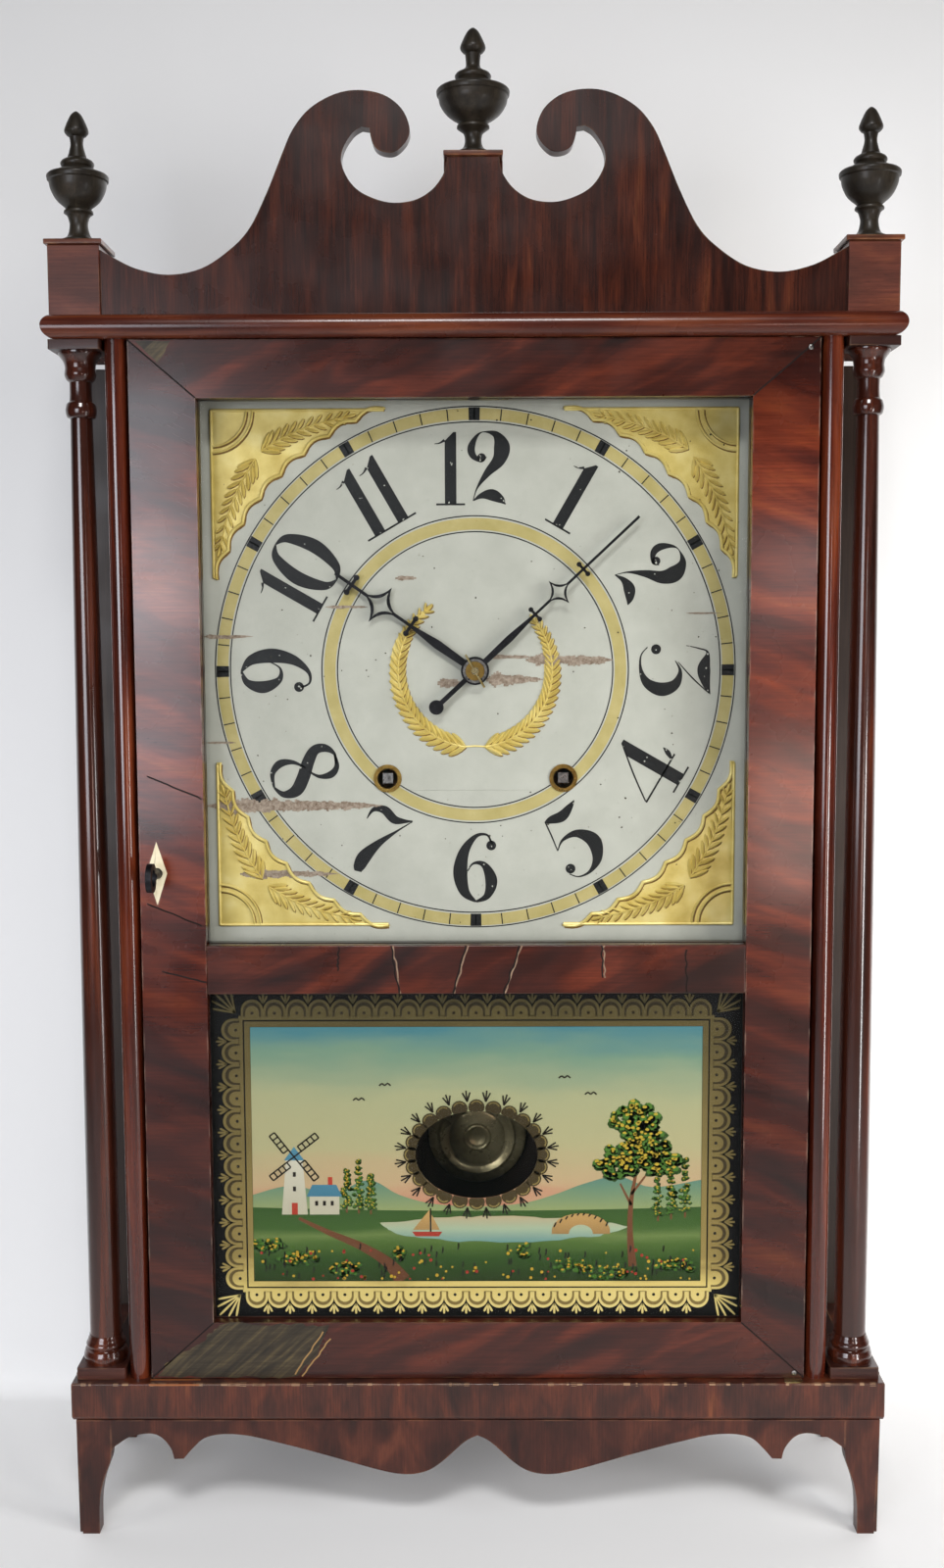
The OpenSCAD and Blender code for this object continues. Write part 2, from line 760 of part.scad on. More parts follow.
// Half outline of an urn finial from its diameters and heights
module finial_profile(d, h) {
  r = d / 2;
  polygon(concat([[0, 0], [r[0], 0], [r[0], 0.8]],
    smooth([[r[0] - 0.6, 2], [r[1] + 1.4, 4.2], [r[1], h[0]], [r[1] + 0.5, h[1] - 3.6], [r[2] - 1.4, h[1] - 1.6]]),
    smooth([[r[2], h[1] - 0.6], [r[2] - 0.2, h[1] + 0.6], [r[2] - 1.4, h[1] + 1.3]]),
    smooth([[r[2] - 0.4, h[1] + 2.4], [r[3] * 0.72, h[1] + 6.2], [r[3] - 1.8, h[2] - 6.5], [r[3] - 1, h[2] - 2.6]]),
    smooth([[r[3] - 0.2, h[2] - 2], [r[3], h[2]], [r[3] - 1, h[2] + 1.1]]),
    smooth([[r[4] + 2, h[2] + 2.6], [r[4] - 1, h[3] - 2.4]]),
    smooth([[r[4] - 0.2, h[3] - 1.6], [r[4], h[3] - 0.4], [r[4] - 0.8, h[3] + 0.8]]),
    smooth([[r[5] + 1.6, h[3] + 2.4], [r[5], h[4]], [r[5] + 0.4, h[5] - 3.6]]),
    smooth([[r[6] - 1.2, h[5] - 2.8], [r[6], h[5] - 1], [r[6] - 0.6, h[5] + 1.6], [r[6] * 0.5, h[6] - 2.6],
      [r[6] * 0.2, h[6] - 0.6], [0, h[6]]])));
}

module finials() {
  color(ebonised) {
    both_sides()
      translate([pillar_x, side_finial_y, block_z + finial_cap_t])
        rotate_extrude()
          finial_profile(side_finial_d, side_finial_h);
    translate([0, center_y, center_cap_z + finial_cap_t])
      rotate_extrude()
        finial_profile(center_finial_d, center_finial_h);
  }
}

// The holes in the door's ends that run on the hinge pins
module hinge_bores() {
  for (z = [[door_z - eps, door_z + hinge_len + clear], [door_top - hinge_len - clear, door_top + eps]])
    translate([hinge_x, hinge_y, z[0]])
      cylinder(d = hinge_d + 2 * play, h = z[1] - z[0]);
}

module lock_cuts() {
  block([-door_x - eps, lock_w - door_x], [lock_y, door_back_y + eps], [lock_z - lock_h / 2, lock_z + lock_h / 2]);
  rod([lock_x, lock_z], key_d / 2 + 2 * clear, [door_y - eps, lock_y + eps]);
  slab([door_y - eps, door_y + escutcheon_t])
    escutcheon_shape();
}

module escutcheon_shape() {
  translate([lock_x, lock_z])
    polygon([[-escutcheon_w / 2, 0], [0, -escutcheon_h / 2], [escutcheon_w / 2, 0], [0, escutcheon_h / 2]]);
}

module door_stiles() {
  color(mahogany)
    difference() {
      both_sides()
        union() {
          block([open_x, door_x], [door_y, glass_y], [door_z, door_top]);
          block([open_x + rabbet_w, door_x], [glass_y, door_back_y], [door_z, door_top]);
        }
      hinge_bores();
      lock_cuts();
    }
}

// A rail between the stiles: z is its front height, the rabbets cut it back behind
module rail(z, rabbet_below, rabbet_above) {
  color(mahogany) {
    union() {
      block([-open_x, open_x], [door_y, glass_y], z);
      block([-open_x - rabbet_w, open_x + rabbet_w], [glass_y, door_back_y],
        [z[0] + rabbet_below, z[1] - rabbet_above]);
    }
  }
}

module door_top_rail() {
  rail([dial_open_top, door_top], rabbet_w, 0);
}

module door_middle_rail() {
  rail([tablet_top, dial_open_z], rabbet_w, rabbet_w);
}

module door_bottom_rail() {
  rail([door_z, tablet_z], 0, rabbet_w);
}

// A pane lies in the rabbet round an opening from z[0] to z[1]
module pane(z) {
  block([-open_x - rabbet_w, open_x + rabbet_w], [glass_y, strip_y], [z[0] - rabbet_w, z[1] + rabbet_w]);
}

module dial_glass() {
  color(clear_glass)
    pane([dial_open_z, dial_open_top]);
}

module tablet_glass() {
  color(painted_glass)
    pane([tablet_z, tablet_top]);
}

module glazing_strips() {
  y = [strip_y, strip_y + strip_t];
  color(dark_mahogany)
    for (z = [[tablet_z, tablet_top], [dial_open_z, dial_open_top]]) {
      both_sides()
        block([open_x, open_x + rabbet_w], y, [z[0] + seam, z[1] - seam]);
      for (edge = [z[0] - rabbet_w, z[1]])
        block([-open_x - rabbet_w, open_x + rabbet_w], y, [edge, edge + rabbet_w]);
    }
}

module hinge_pins() {
  color(iron)
    for (z = [base_top, door_top - hinge_len])
      translate([hinge_x, hinge_y, z])
        cylinder(d = hinge_d, h = hinge_len + door_end_gap);
}

module lock_case() {
  z = [lock_z - lock_h / 2, lock_z + lock_h / 2];
  y = [lock_y, door_back_y];
  color(brass)
    difference() {
      block([-door_x, lock_w - door_x], y, z);
      block([-door_x - eps, lock_w - lock_wall - door_x], [y[0] + lock_wall, y[1] - lock_wall],
        [z[0] + lock_wall, z[1] - lock_wall]);
      rod([lock_x, lock_z], key_d / 2 + play, [y[0] - eps, y[0] + lock_wall + eps]);
    }
}

module lock_bolt() {
  color(iron)
    block([bolt_in - door_x, bolt_in + bolt_len - door_x],
      [lock_y + lock_wall + clear, door_back_y - lock_wall - clear],
      [lock_z - bit_drop - bolt_h, lock_z - bit_drop]);
}

module escutcheon() {
  color(bone)
    difference() {
      slab([door_y, door_y + escutcheon_t])
        escutcheon_shape();
      rod([lock_x, lock_z], key_d / 2 + clear, [door_y - eps, door_y + escutcheon_t + eps]);
    }
}

module door_key() {
  bow_y = door_y - bow_gap - bow_d / 2;
  bow_hole_r = bow_d / 2 - bow_t;
  y_end = door_back_y - lock_wall - clear;
  color(iron)
    difference() {
      union() {
        rod([lock_x, lock_z], key_d / 2, [bow_y, y_end]);
        translate([lock_x - bow_t / 2, bow_y, lock_z])
          rotate([90, 0, 90])
            cylinder(d = bow_d, h = bow_t);
        block([lock_x - bit_t / 2, lock_x + bit_t / 2], [lock_y + lock_wall + clear, y_end], [lock_z, lock_z + bit_len]);
      }
      translate([lock_x - key_d, bow_y, lock_z])
        rotate([90, 0, 90])
          cylinder(r = bow_hole_r, h = 2 * key_d);
    }
}

module dial_board() {
  half = inner_x - dial_side_gap;
  color(dial_white)
    difference() {
      block([-half, half], [dial_y, dial_back_y], [dial_open_z - rabbet_w, top_z - 1]);
      at_dial()
        rod([0, 0], dial_hole_r, [dial_y - eps, dial_back_y + eps]);
      at_dial()
        both_sides()
          rod(wind_at, grommet_r + play, [dial_y - eps, dial_back_y + eps]);
    }
}

module dial_strips() {
  color(old_pine)
    both_sides()
      block([inner_x - dial_strip_w, inner_x], [dial_back_y, dial_back_y + dial_t], [dial_open_z - rabbet_w, top_z]);
}

module winding_grommets() {
  color(brass)
    at_dial()
      both_sides()
        difference() {
          union() {
            rod(wind_at, grommet_d / 2, [dial_y - grommet_lip, dial_y]);
            rod(wind_at, grommet_r, [dial_y - grommet_lip, dial_back_y]);
          }
          rod(wind_at, grommet_bore_r, [dial_y - 2 * grommet_lip, dial_back_y + eps]);
        }
}

// Outline of a diamond with hollowed sides: half width d, depth of the hollow c, both from its middle
function hollow_diamond(d, c, n = 6) = [for (q = [0 : 3]) for (i = [0 : n - 1])
  let (t = i / n, a = polar(d, 90 * q), m = polar(c, 90 * q + 45), b = polar(d, 90 * q + 90))
    (1 - t) * (1 - t) * a + 2 * t * (1 - t) * m + t * t * b];

// One hand, pointing up: hub, leaf blade, inner bar, pierced diamond, outer bar and tip.
// spots holds the heights of the inner bar, the diamond and the outer bar, d the diamond's half
// width and w the widths of leaf, stem, diamond's strips and bar's ball ends
module hand(y, length, hub_r, spots, d, w) {
  leaf_z = (hub_r + spots[0]) / 2;
  bar = d * 0.42;
  hole = d - 2 * w[2];
  cut = [y[0] - eps, y[1] + eps];
  difference() {
    union() {
      rod([0, 0], hub_r, y);
      slab(y)
        polygon([[-w[1], 0], [-w[0] / 2, leaf_z], [-w[1] / 2, spots[0]], [w[1] / 2, spots[0]], [w[0] / 2, leaf_z], [w[1], 0]]);
      block([-w[1] / 2, w[1] / 2], y, [spots[0] - w[1], spots[1] - hole]);
      block([-w[1] / 2, w[1] / 2], y, [spots[1] + hole, length]);
      translate([0, 0, spots[1]])
        slab(y)
          polygon(hollow_diamond(d, d * 0.26));
      for (z = [spots[0], spots[2]]) {
        block([-bar, bar], y, [z - w[1] / 2, z + w[1] / 2]);
        for (s = [-1, 1])
          rod([s * bar, z], w[3] / 2, y);
      }
    }
    translate([0, 0, spots[1]])
      slab(cut)
        polygon(hollow_diamond(hole, hole * 0.2));
  }
}

module minute_hand() {
  disc_r = 3.9;
  hub_r = 7;
  tail_w = 2.6;
  y = [minute_y, minute_y + hand_t];
  color(iron)
    at_dial()
      difference() {
        rotate([0, minute_angle, 0])
          union() {
            hand(y, minute_len, hub_r, minute_spots, minute_diamond, minute_widths);
            block([-tail_w / 2, tail_w / 2], y, [disc_r - tail_len, 0]);
            rod([0, disc_r - tail_len], disc_r, y);
          }
        rod([0, 0], cannon_seat_r + seam, [y[0] - eps, y[1] + eps], flats);
      }
}

module hand_collet() {
  color(brass)
    at_dial()
      difference() {
        rod([0, 0], collet_r, [minute_y - collet_t, minute_y]);
        rod([0, 0], pipe_bore + play, [minute_y - collet_t - eps, minute_y + eps]);
      }
}

module cannon_pinion() {
  color(brass)
    at_dial()
      difference() {
        union() {
          slab([cannon_gear_y, cannon_gear_y + motion_gear_t])
            pinion(cannon_teeth, motion_mod, 90);
          rod([0, 0], cannon_r, [minute_y + hand_t, cannon_gear_y + eps]);
          rod([0, 0], cannon_seat_r, [minute_y, minute_y + hand_t + eps], flats);
        }
        rod([0, 0], pipe_bore + play, [minute_y - eps, plate_y]);
      }
}

module hour_hand() {
  hub_r = 7.5;
  y = [hour_y, hour_y + hand_t];
  color(iron)
    at_dial()
      rotate([0, hour_angle, 0])
        difference() {
          hand(y, hour_len, hub_r, hour_spots, hour_diamond, hour_widths);
          rod([0, 0], hour_seat_r + play, [y[0] - eps, y[1] + eps]);
        }
}

module hour_wheel() {
  color(cherry)
    at_dial()
      difference() {
        union() {
          slab([hour_gear_y, hour_gear_y + motion_gear_t])
            wheel(hour_teeth, motion_mod, -90);
          rod([0, 0], hour_pipe_r, [hour_y + hand_t, hour_gear_y + eps]);
          rod([0, 0], hour_seat_r, [hour_y, hour_gear_y]);
        }
        rod([0, 0], cannon_r + play, [hour_y - eps, hour_gear_y + motion_gear_t + eps]);
      }
}

// Toothed outlines: wheels have plain teeth, pinions slim leaves
module wheel(n, mod, phase) {
  polygon(teeth(n, mod * (n / 2 - 1.3), mod * (n / 2 + 0.85), 0.52, 0.2, phase));
}

module pinion(n, mod, phase) {
  polygon(teeth(n, mod * (n / 2 - 1.35), mod * (n / 2 + 0.5), 0.42, 0.22, phase));
}

module motion_wheel() {
  at = [0, -motion_dist];
  color(cherry)
    at_dial()
      difference() {
        union() {
          translate([at[0], 0, at[1]]) {
            slab([cannon_gear_y, cannon_gear_y + motion_gear_t])
              wheel(motion_teeth, motion_mod, 90 + 180 / motion_teeth);
            slab([hour_gear_y, cannon_gear_y + eps])
              pinion(motion_leaves, motion_mod, 90 + 180 / motion_leaves);
          }
        }
        rod(at, pivot_r + play, [hour_gear_y - eps, plate_y]);
      }
}

// The arbors' places and their journal radii: [front plate, back plate]
arbors = [[[0, 0], [journal_r, journal_r]], [third_at, [pivot_r, pivot_r]], [[0, escape_z], [pivot_r, pivot_r]],
  [[0, verge_z], [pivot_r, journal_r]], [pin_at, [pivot_r, pivot_r]], [fly_at, [pivot_r, pivot_r]],
  [hammer_at, [hammer_r, hammer_r]], [wind_at, [winding_r, winding_r]], [[-wind_x, -wind_drop], [winding_r, winding_r]]];

module movement_plates() {
  low = -plate_low - plate_margin / 2;
  color(oak)
    at_dial() {
      for (i = [0, 1]) {
        y = [[plate_y, inside_y], [outside_y, behind_y]][i];
        difference() {
          block([-plate_x, plate_x], y, [low, plate_high]);
          for (a = arbors)
            rod(a[0], a[1][i] + play, [y[0] - eps, y[1] + eps]);
          for (p = pillar_spots)
            rod(p, plate_tenon_r, [y[0] - eps, y[1] + eps], flats);
          if (i == 0)
            rod([0, -motion_dist], pivot_r, [y[0] - eps, y[1] + eps], flats);
        }
      }
    }
}

module plate_pillars() {
  color(laurel)
    at_dial() {
      for (p = pillar_spots) {
        rod(p, plate_pillar_r, [inside_y, outside_y]);
        rod(p, plate_tenon_r, [plate_y, inside_y], flats);
        rod(p, plate_tenon_r, [outside_y, behind_y], flats);
        rod(p, plate_pillar_r, [behind_y, back_y]);
      }
      rod([0, -motion_dist], pivot_r, [hour_gear_y, plate_y]);
      rod([0, -motion_dist], pivot_r, [plate_y, inside_y], flats);
    }
}

// An arbor between the plates with a journal in each
module arbor(at, r, front_r, rear_r) {
  rod(at, r, [inside_y + end_shake, outside_y - end_shake], flats);
  rod(at, front_r, [plate_y, inside_y + end_shake]);
  rod(at, rear_r, [outside_y - end_shake, behind_y]);
}

// A wheel on its arbor: the arbor passes it in a flat-sided hole
module train_wheel(at, n, mod, y, phase, seat_r) {
  slab(y)
    translate(at)
      difference() {
        wheel(n, mod, phase);
        circle(r = seat_r + seam, $fn = flats);
      }
}

module train_pinion(at, n, mod, y, phase) {
  slab([y[0] - pinion_over, y[1] + pinion_over])
    translate(at)
      pinion(n, mod, phase);
}

module center_wheel() {
  color(laurel)
    at_dial() {
      difference() {
        union() {
          arbor([0, 0], arbor_r, journal_r, journal_r);
          rod([0, 0], pipe_bore, [arbor_tip_y, plate_y]);
          train_pinion([0, 0], center_leaves, great_mod, [time_great_y, time_great_y + great_t],
            heading(wind_at) + 180 / center_leaves);
        }
        taper_pin(taper_pin_r);
      }
      train_wheel([0, 0], center_teeth, center_mod, [center_wheel_y, center_wheel_y + wheel_t], third_angle, arbor_r);
      taper_pin(taper_pin_r - play);
    }
}

// The pin through the arbor's end that keeps the hands on
module taper_pin(r) {
  translate([0, taper_pin_y, 0])
    rotate([0, -taper_pin_lean, 0])
      translate([0, 0, -taper_pin_half])
        cylinder(r = r, h = 2 * taper_pin_half);
}

module third_wheel() {
  color(laurel)
    at_dial() {
      union() {
        arbor(third_at, slim_arbor_r, pivot_r, pivot_r);
        train_pinion(third_at, third_leaves, center_mod, [center_wheel_y, center_wheel_y + wheel_t],
          third_angle + 180 + 180 / third_leaves);
      }
      train_wheel(third_at, third_teeth, third_mod, [third_wheel_y, third_wheel_y + fine_t],
        heading([0, escape_z] - third_at), slim_arbor_r);
    }
}

module escape_wheel() {
  at = [0, escape_z];
  root = escape_r - 4;
  color(laurel)
    at_dial() {
      union() {
        arbor(at, fine_arbor_r, pivot_r, pivot_r);
        train_pinion(at, escape_leaves, third_mod, [third_wheel_y, third_wheel_y + fine_t],
          heading(third_at - at) + 180 / escape_leaves);
      }
      slab([escape_wheel_y, escape_wheel_y + fine_t])
        translate(at)
          difference() {
            polygon([for (i = [0 : escape_teeth - 1]) for (p = [[root, 0], [escape_r, 0.62], [root, 0.75]])
              polar(p[0], (i + p[1]) * 360 / escape_teeth)]);
            circle(r = fine_arbor_r + seam, $fn = flats);
          }
    }
}

module verge() {
  at = [0, verge_z];
  hub_r = 5;
  arm_len = escape_r + 2;
  y = [escape_wheel_y - clear, escape_wheel_y + fine_t + clear];
  crutch_y = [behind_y + 1, behind_y + 2.6];
  fork = rod_d / 2 + clear;
  color(iron)
    at_dial()
      union() {
        rod(at, arbor_r, [inside_y + end_shake, outside_y - end_shake]);
        rod(at, pivot_r, [plate_y, inside_y + 1]);
        rod(at, journal_r, [outside_y - 1, crutch_y[1]]);
        slab(y)
          translate(at) {
            circle(r = hub_r);
            for (s = [-1, 1])
              rotate(s * 45 - 90)
                translate([0, s > 0 ? arm_off : -arm_off - arm_w])
                  square([arm_len, arm_w]);
          }
        slab(crutch_y)
          translate(at) {
            circle(r = hub_r);
            translate([-1, -crutch_len])
              square([2, crutch_len]);
            translate([-fork - 2, -crutch_len])
              square([2 * fork + 4, 2]);
          }
        for (s = [-1, 1])
          block([s * (fork + 1) - 1, s * (fork + 1) + 1], [crutch_y[0], pendulum_y + rod_d],
            [verge_z - crutch_len, verge_z - crutch_len + 2]);
      }
}

module suspension_cock() {
  at = [0, verge_z];
  top = verge_z + journal_r + cock_rise;
  arm = [behind_y, back_y - 1];
  color(brass)
    at_dial()
      union() {
        block([-cock_w / 2, cock_w / 2], [behind_y, behind_y + cock_t], [top - cock_t * 3, top]);
        block([-cock_w / 2, cock_w / 2], arm, [top - cock_t, top]);
        block([-cock_w / 2, cock_w / 2], [back_y - 1 - cock_t, back_y - 1], [verge_z - eye_r, top]);
        rod(at, pivot_pin_r, [pendulum_y - eye_t, back_y - 1]);
      }
}

module pendulum_rod() {
  pivot_z = dial_z + verge_z;
  y = [pendulum_y - eye_t / 2, pendulum_y + eye_t / 2];
  bob_seat = bob_z + bob_d / 2;
  color(brass)
    difference() {
      union() {
        rod([0, pivot_z], eye_r, y);
        translate([0, pendulum_y, bob_seat])
          cylinder(d = rod_d, h = pivot_z - eye_r * 0.6 - bob_seat);
        translate([0, pendulum_y, bob_seat])
          cylinder(d = rod_d * 2, h = rod_d * 2);
      }
      rod([0, pivot_z], pivot_pin_r + play, [y[0] - eps, y[1] + eps]);
    }
}

module pendulum_bob() {
  half = bob_t / 2;
  rim = 1.6;
  color(brass)
    translate([0, pendulum_y, bob_z])
      rotate([90, 0, 0])
        rotate_extrude()
          polygon(concat([[0, -half]], smooth([[bob_d * 0.2, -half], [bob_d * 0.36, -half * 0.7],
            [bob_d / 2 - rim, -half * 0.3]]), [[bob_d / 2, -half * 0.25], [bob_d / 2, half * 0.25]],
            smooth([[bob_d / 2 - rim, half * 0.3], [bob_d * 0.36, half * 0.7], [bob_d * 0.2, half]]), [[0, half]]));
}

// A drum with its winding arbor; the great wheel runs on the arbor in front of the drum
module drum(at, wheel_y) {
  drum_y = wheel_y + great_t + end_shake;
  square_y = dial_y + grommet_lip * 2;
  union() {
    translate([at[0] - square_w / 2, square_y, at[1] - square_w / 2])
      cube([square_w, plate_y - square_y, square_w]);
    rod(at, winding_r, [plate_y - eps, inside_y + end_shake]);
    rod(at, drum_arbor_r, [inside_y + end_shake, drum_y + eps]);
    rod(at, drum_flange_r, [drum_y, drum_y + drum_flange_t]);
    rod(at, drum_r, [drum_y, drum_end_y]);
    rod(at, drum_flange_r, [drum_end_y - drum_flange_t, drum_end_y]);
    rod(at, winding_r, [drum_end_y - eps, behind_y]);
  }
}

module great_wheel(at, y, phase) {
  difference() {
    slab([y, y + great_t])
      translate(at)
        wheel(great_teeth, great_mod, phase);
    rod(at, drum_arbor_r + play, [y - eps, y + great_t + eps]);
  }
}

module time_drum() {
  color(cherry)
    at_dial()
      drum(wind_at, time_great_y);
}

module time_great_wheel() {
  color(cherry)
    at_dial()
      great_wheel(wind_at, time_great_y, heading(-wind_at));
}

module strike_drum() {
  color(cherry)
    at_dial()
      drum([-wind_x, -wind_drop], strike_great_y);
}

module strike_great_wheel() {
  color(cherry)
    at_dial()
      great_wheel([-wind_x, -wind_drop], strike_great_y, pin_angle);
}

module pin_wheel() {
  color(laurel)
    at_dial() {
      union() {
        arbor(pin_at, arbor_r, pivot_r, pivot_r);
        train_pinion(pin_at, center_leaves, great_mod, [strike_great_y, strike_great_y + great_t],
          pin_angle + 180 + 180 / center_leaves);
      }
      union() {
        train_wheel(pin_at, pin_teeth, pin_mod, [center_wheel_y, center_wheel_y + wheel_t], fly_angle, arbor_r);
        for (i = [0 : pin_count - 1])
          rod(pin_at + polar(pin_ring_r, i * 360 / pin_count), pin_r,
            [center_wheel_y + wheel_t / 2, center_wheel_y + wheel_t + pin_len]);
      }
    }
}

module fly() {
  vane_y = [center_wheel_y + wheel_t + pin_len + clear, outside_y - 2 * clear];
  color(laurel)
    at_dial()
      union() {
        arbor(fly_at, fine_arbor_r, pivot_r, pivot_r);
        train_pinion(fly_at, fly_leaves, pin_mod, [center_wheel_y, center_wheel_y + wheel_t],
          fly_angle + 180 + 180 / fly_leaves);
        block([fly_at[0] - fly_r, fly_at[0] + fly_r], vane_y, [fly_at[1] - fly_t / 2, fly_at[1] + fly_t / 2]);
      }
}

module hammer() {
  pivot = [hammer_at[0], dial_z + hammer_at[1]];
  rim_reach = sqrt(pow(bell_r, 2) - pow(bell_at[1] - hammer_y - head_r, 2));
  head_x = bell_at[0] - rim_reach - head_len / 2 - clear;
  wire = [head_x, head_z] - pivot;
  tail_y = [center_wheel_y + wheel_t + clear, center_wheel_y + wheel_t + pin_len];
  color(iron)
    union() {
      rod(pivot, arbor_r, [inside_y + end_shake, outside_y - end_shake]);
      rod(pivot, hammer_r, [hammer_y - hammer_arm_t / 2, inside_y + 1]);
      rod(pivot, hammer_r, [outside_y - 1, behind_y]);
      rod(pivot, arbor_r * 1.3, [hammer_y - hammer_arm_t / 2, hammer_y + hammer_arm_t / 2]);
      translate([pivot[0], hammer_y, pivot[1]])
        rotate([0, 90 - heading(wire), 0])
          cylinder(r = hammer_wire_r, h = norm(wire));
      translate([head_x - head_len / 2, hammer_y, head_z])
        rotate([0, 90, 0])
          cylinder(r = head_r, h = head_len);
      slab(tail_y)
        translate(pivot)
          rotate(heading(pin_at - hammer_at))
            translate([0, -arbor_r / 2])
              square([tail_end, arbor_r]);
    }
}

module bell() {
  rim_z = base_top + bell_rise;
  crown_z = rim_z + bell_h;
  inner_r = bell_r - bell_t;
  dome = [[1, 0], [0.98, 0.3], [0.9, 0.62], [0.68, 0.88], [0.36, 1]];
  outer = smooth([for (p = dome) [p[0] * bell_r, p[1] * bell_h]]);
  inner = smooth([for (p = dome) [p[0] * inner_r, p[1] * (bell_h - bell_t)]]);
  color(brass)
    translate([bell_at[0], bell_at[1], 0]) {
      translate([0, 0, rim_z])
        rotate_extrude()
          polygon(concat(outer, [[bell_post_r, bell_h], [bell_post_r, bell_h - bell_t]], back_to_front(inner)));
      union() {
        translate([0, 0, base_top])
          cylinder(r = bell_post_r - play, h = crown_z - base_top + bell_nut_h);
        for (z = [base_top, crown_z - bell_t - bell_nut_h - seam, crown_z + seam])
          translate([0, 0, z])
            cylinder(r = bell_nut_r, h = bell_nut_h);
      }
    }
}

// An iron weight with a wire eye on top
module weight(side) {
  x = side * weight_x;
  color(iron)
    union() {
      block([x - weight_w / 2, x + weight_w / 2], [cord_y - weight_d / 2, cord_y + weight_d / 2],
        [weight_z, weight_z + weight_h]);
      translate([x, cord_y, weight_z + weight_h + hook_h - hook_r])
        rotate([90, 0, 0])
          rotate_extrude()
            translate([hook_r - hook_wire_r, 0])
              circle(r = hook_wire_r, $fn = 24);
      translate([x, cord_y, weight_z + weight_h - 1])
        cylinder(r = hook_wire_r, h = hook_h - 2 * hook_r + 2 * hook_wire_r + 1);
    }
}

module time_weight() {
  weight(1);
}

module strike_weight() {
  weight(-1);
}

// The cord from the drum over the pulley, and its hanging run down to the weight
module cord(side) {
  from = [wind_x, dial_z - wind_drop];
  to = [pulley_x, pulley_z];
  drum_line = drum_r + cord_r + clear;
  span = norm(to - from);
  lean = heading(to - from) - acos((drum_line + pulley_line) / span);
  start = from + polar(drum_line, lean);
  finish = to + polar(pulley_line, lean + 180);
  color(hemp)
    mirror([side < 0 ? 1 : 0, 0, 0])
      translate([0, cord_y, 0]) {
        translate([start[0], 0, start[1]])
          rotate([0, 90 - heading(finish - start), 0])
            cylinder(r = cord_r, h = norm(finish - start) - seam);
        translate([to[0], 0, to[1]])
          rotate([90, 0, 0])
            rotate_extrude(angle = heading(finish - to))
              translate([pulley_line, 0])
                circle(r = cord_r);
        translate([weight_x, 0, weight_z + weight_h + hook_h + clear])
          cylinder(r = cord_r, h = pulley_z - weight_z - weight_h - hook_h - clear - seam);
      }
}

module time_cord() {
  cord(1);
}

module strike_cord() {
  cord(-1);
}

// A grooved pulley with its own axle
module pulley(side) {
  half = pulley_t / 2;
  color(laurel)
    translate([side * pulley_x, cord_y, pulley_z])
      rotate([90, 0, 0])
        union() {
          rotate_extrude()
            polygon([[0, -half], [pulley_flange_r, -half], [pulley_flange_r, -half + 0.8], [pulley_r, -cord_r - clear],
              [pulley_r, cord_r + clear], [pulley_flange_r, half - 0.8], [pulley_flange_r, half], [0, half]]);
          translate([0, 0, -half - pulley_slot_gap - plate_t])
            cylinder(r = pulley_axle_r, h = pulley_t + 2 * (pulley_slot_gap + plate_t));
        }
}

module time_pulley() {
  pulley(1);
}

module strike_pulley() {
  pulley(-1);
}

base_rails();
case_floor();
apron();
front_feet();
side_skirts();
case_sides();
case_top();
backboard();
front_beads();
cornice();
pillars();
pillar_blocks();
scroll_pediment();
plinth_blocks();
plinth_caps();
finials();
door_stiles();
door_top_rail();
door_middle_rail();
door_bottom_rail();
dial_glass();
tablet_glass();
glazing_strips();
hinge_pins();
lock_case();
lock_bolt();
escutcheon();
door_key();
dial_board();
dial_strips();
winding_grommets();
minute_hand();
hand_collet();
cannon_pinion();
hour_hand();
hour_wheel();
motion_wheel();
movement_plates();
plate_pillars();
center_wheel();
third_wheel();
escape_wheel();
verge();
suspension_cock();
pendulum_rod();
pendulum_bob();
time_drum();
time_great_wheel();
strike_drum();
strike_great_wheel();
pin_wheel();
fly();
hammer();
bell();
time_weight();
strike_weight();
time_cord();
strike_cord();
time_pulley();
strike_pulley();
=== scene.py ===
"""Looks of the pillar and scroll clock: finishes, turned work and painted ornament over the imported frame."""

import math
import random

import bpy
from mathutils import Matrix, Vector, noise


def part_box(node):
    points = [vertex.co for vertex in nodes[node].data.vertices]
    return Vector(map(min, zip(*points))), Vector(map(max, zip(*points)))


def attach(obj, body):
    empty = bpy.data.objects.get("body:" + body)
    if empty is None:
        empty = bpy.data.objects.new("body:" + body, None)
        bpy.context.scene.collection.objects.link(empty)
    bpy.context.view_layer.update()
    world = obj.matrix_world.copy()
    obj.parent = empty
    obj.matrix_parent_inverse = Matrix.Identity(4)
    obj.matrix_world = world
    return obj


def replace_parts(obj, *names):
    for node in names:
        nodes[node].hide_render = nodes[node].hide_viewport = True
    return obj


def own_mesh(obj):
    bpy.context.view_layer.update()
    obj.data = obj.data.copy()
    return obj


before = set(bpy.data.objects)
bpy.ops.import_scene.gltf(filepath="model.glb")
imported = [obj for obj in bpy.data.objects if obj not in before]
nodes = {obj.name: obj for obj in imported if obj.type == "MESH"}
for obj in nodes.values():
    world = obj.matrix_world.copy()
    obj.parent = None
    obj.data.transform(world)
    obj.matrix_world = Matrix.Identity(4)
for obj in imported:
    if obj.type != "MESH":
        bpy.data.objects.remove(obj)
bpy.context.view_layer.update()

# Studio: one pale paper sheet as floor and wall, with a tight cove behind the clock.
# Soft lamps and reflectors stand left and right, a high lamp throws the shadow under the apron and two small
# ones reach the bob; the sheen at the right comes from a strip and a low card.


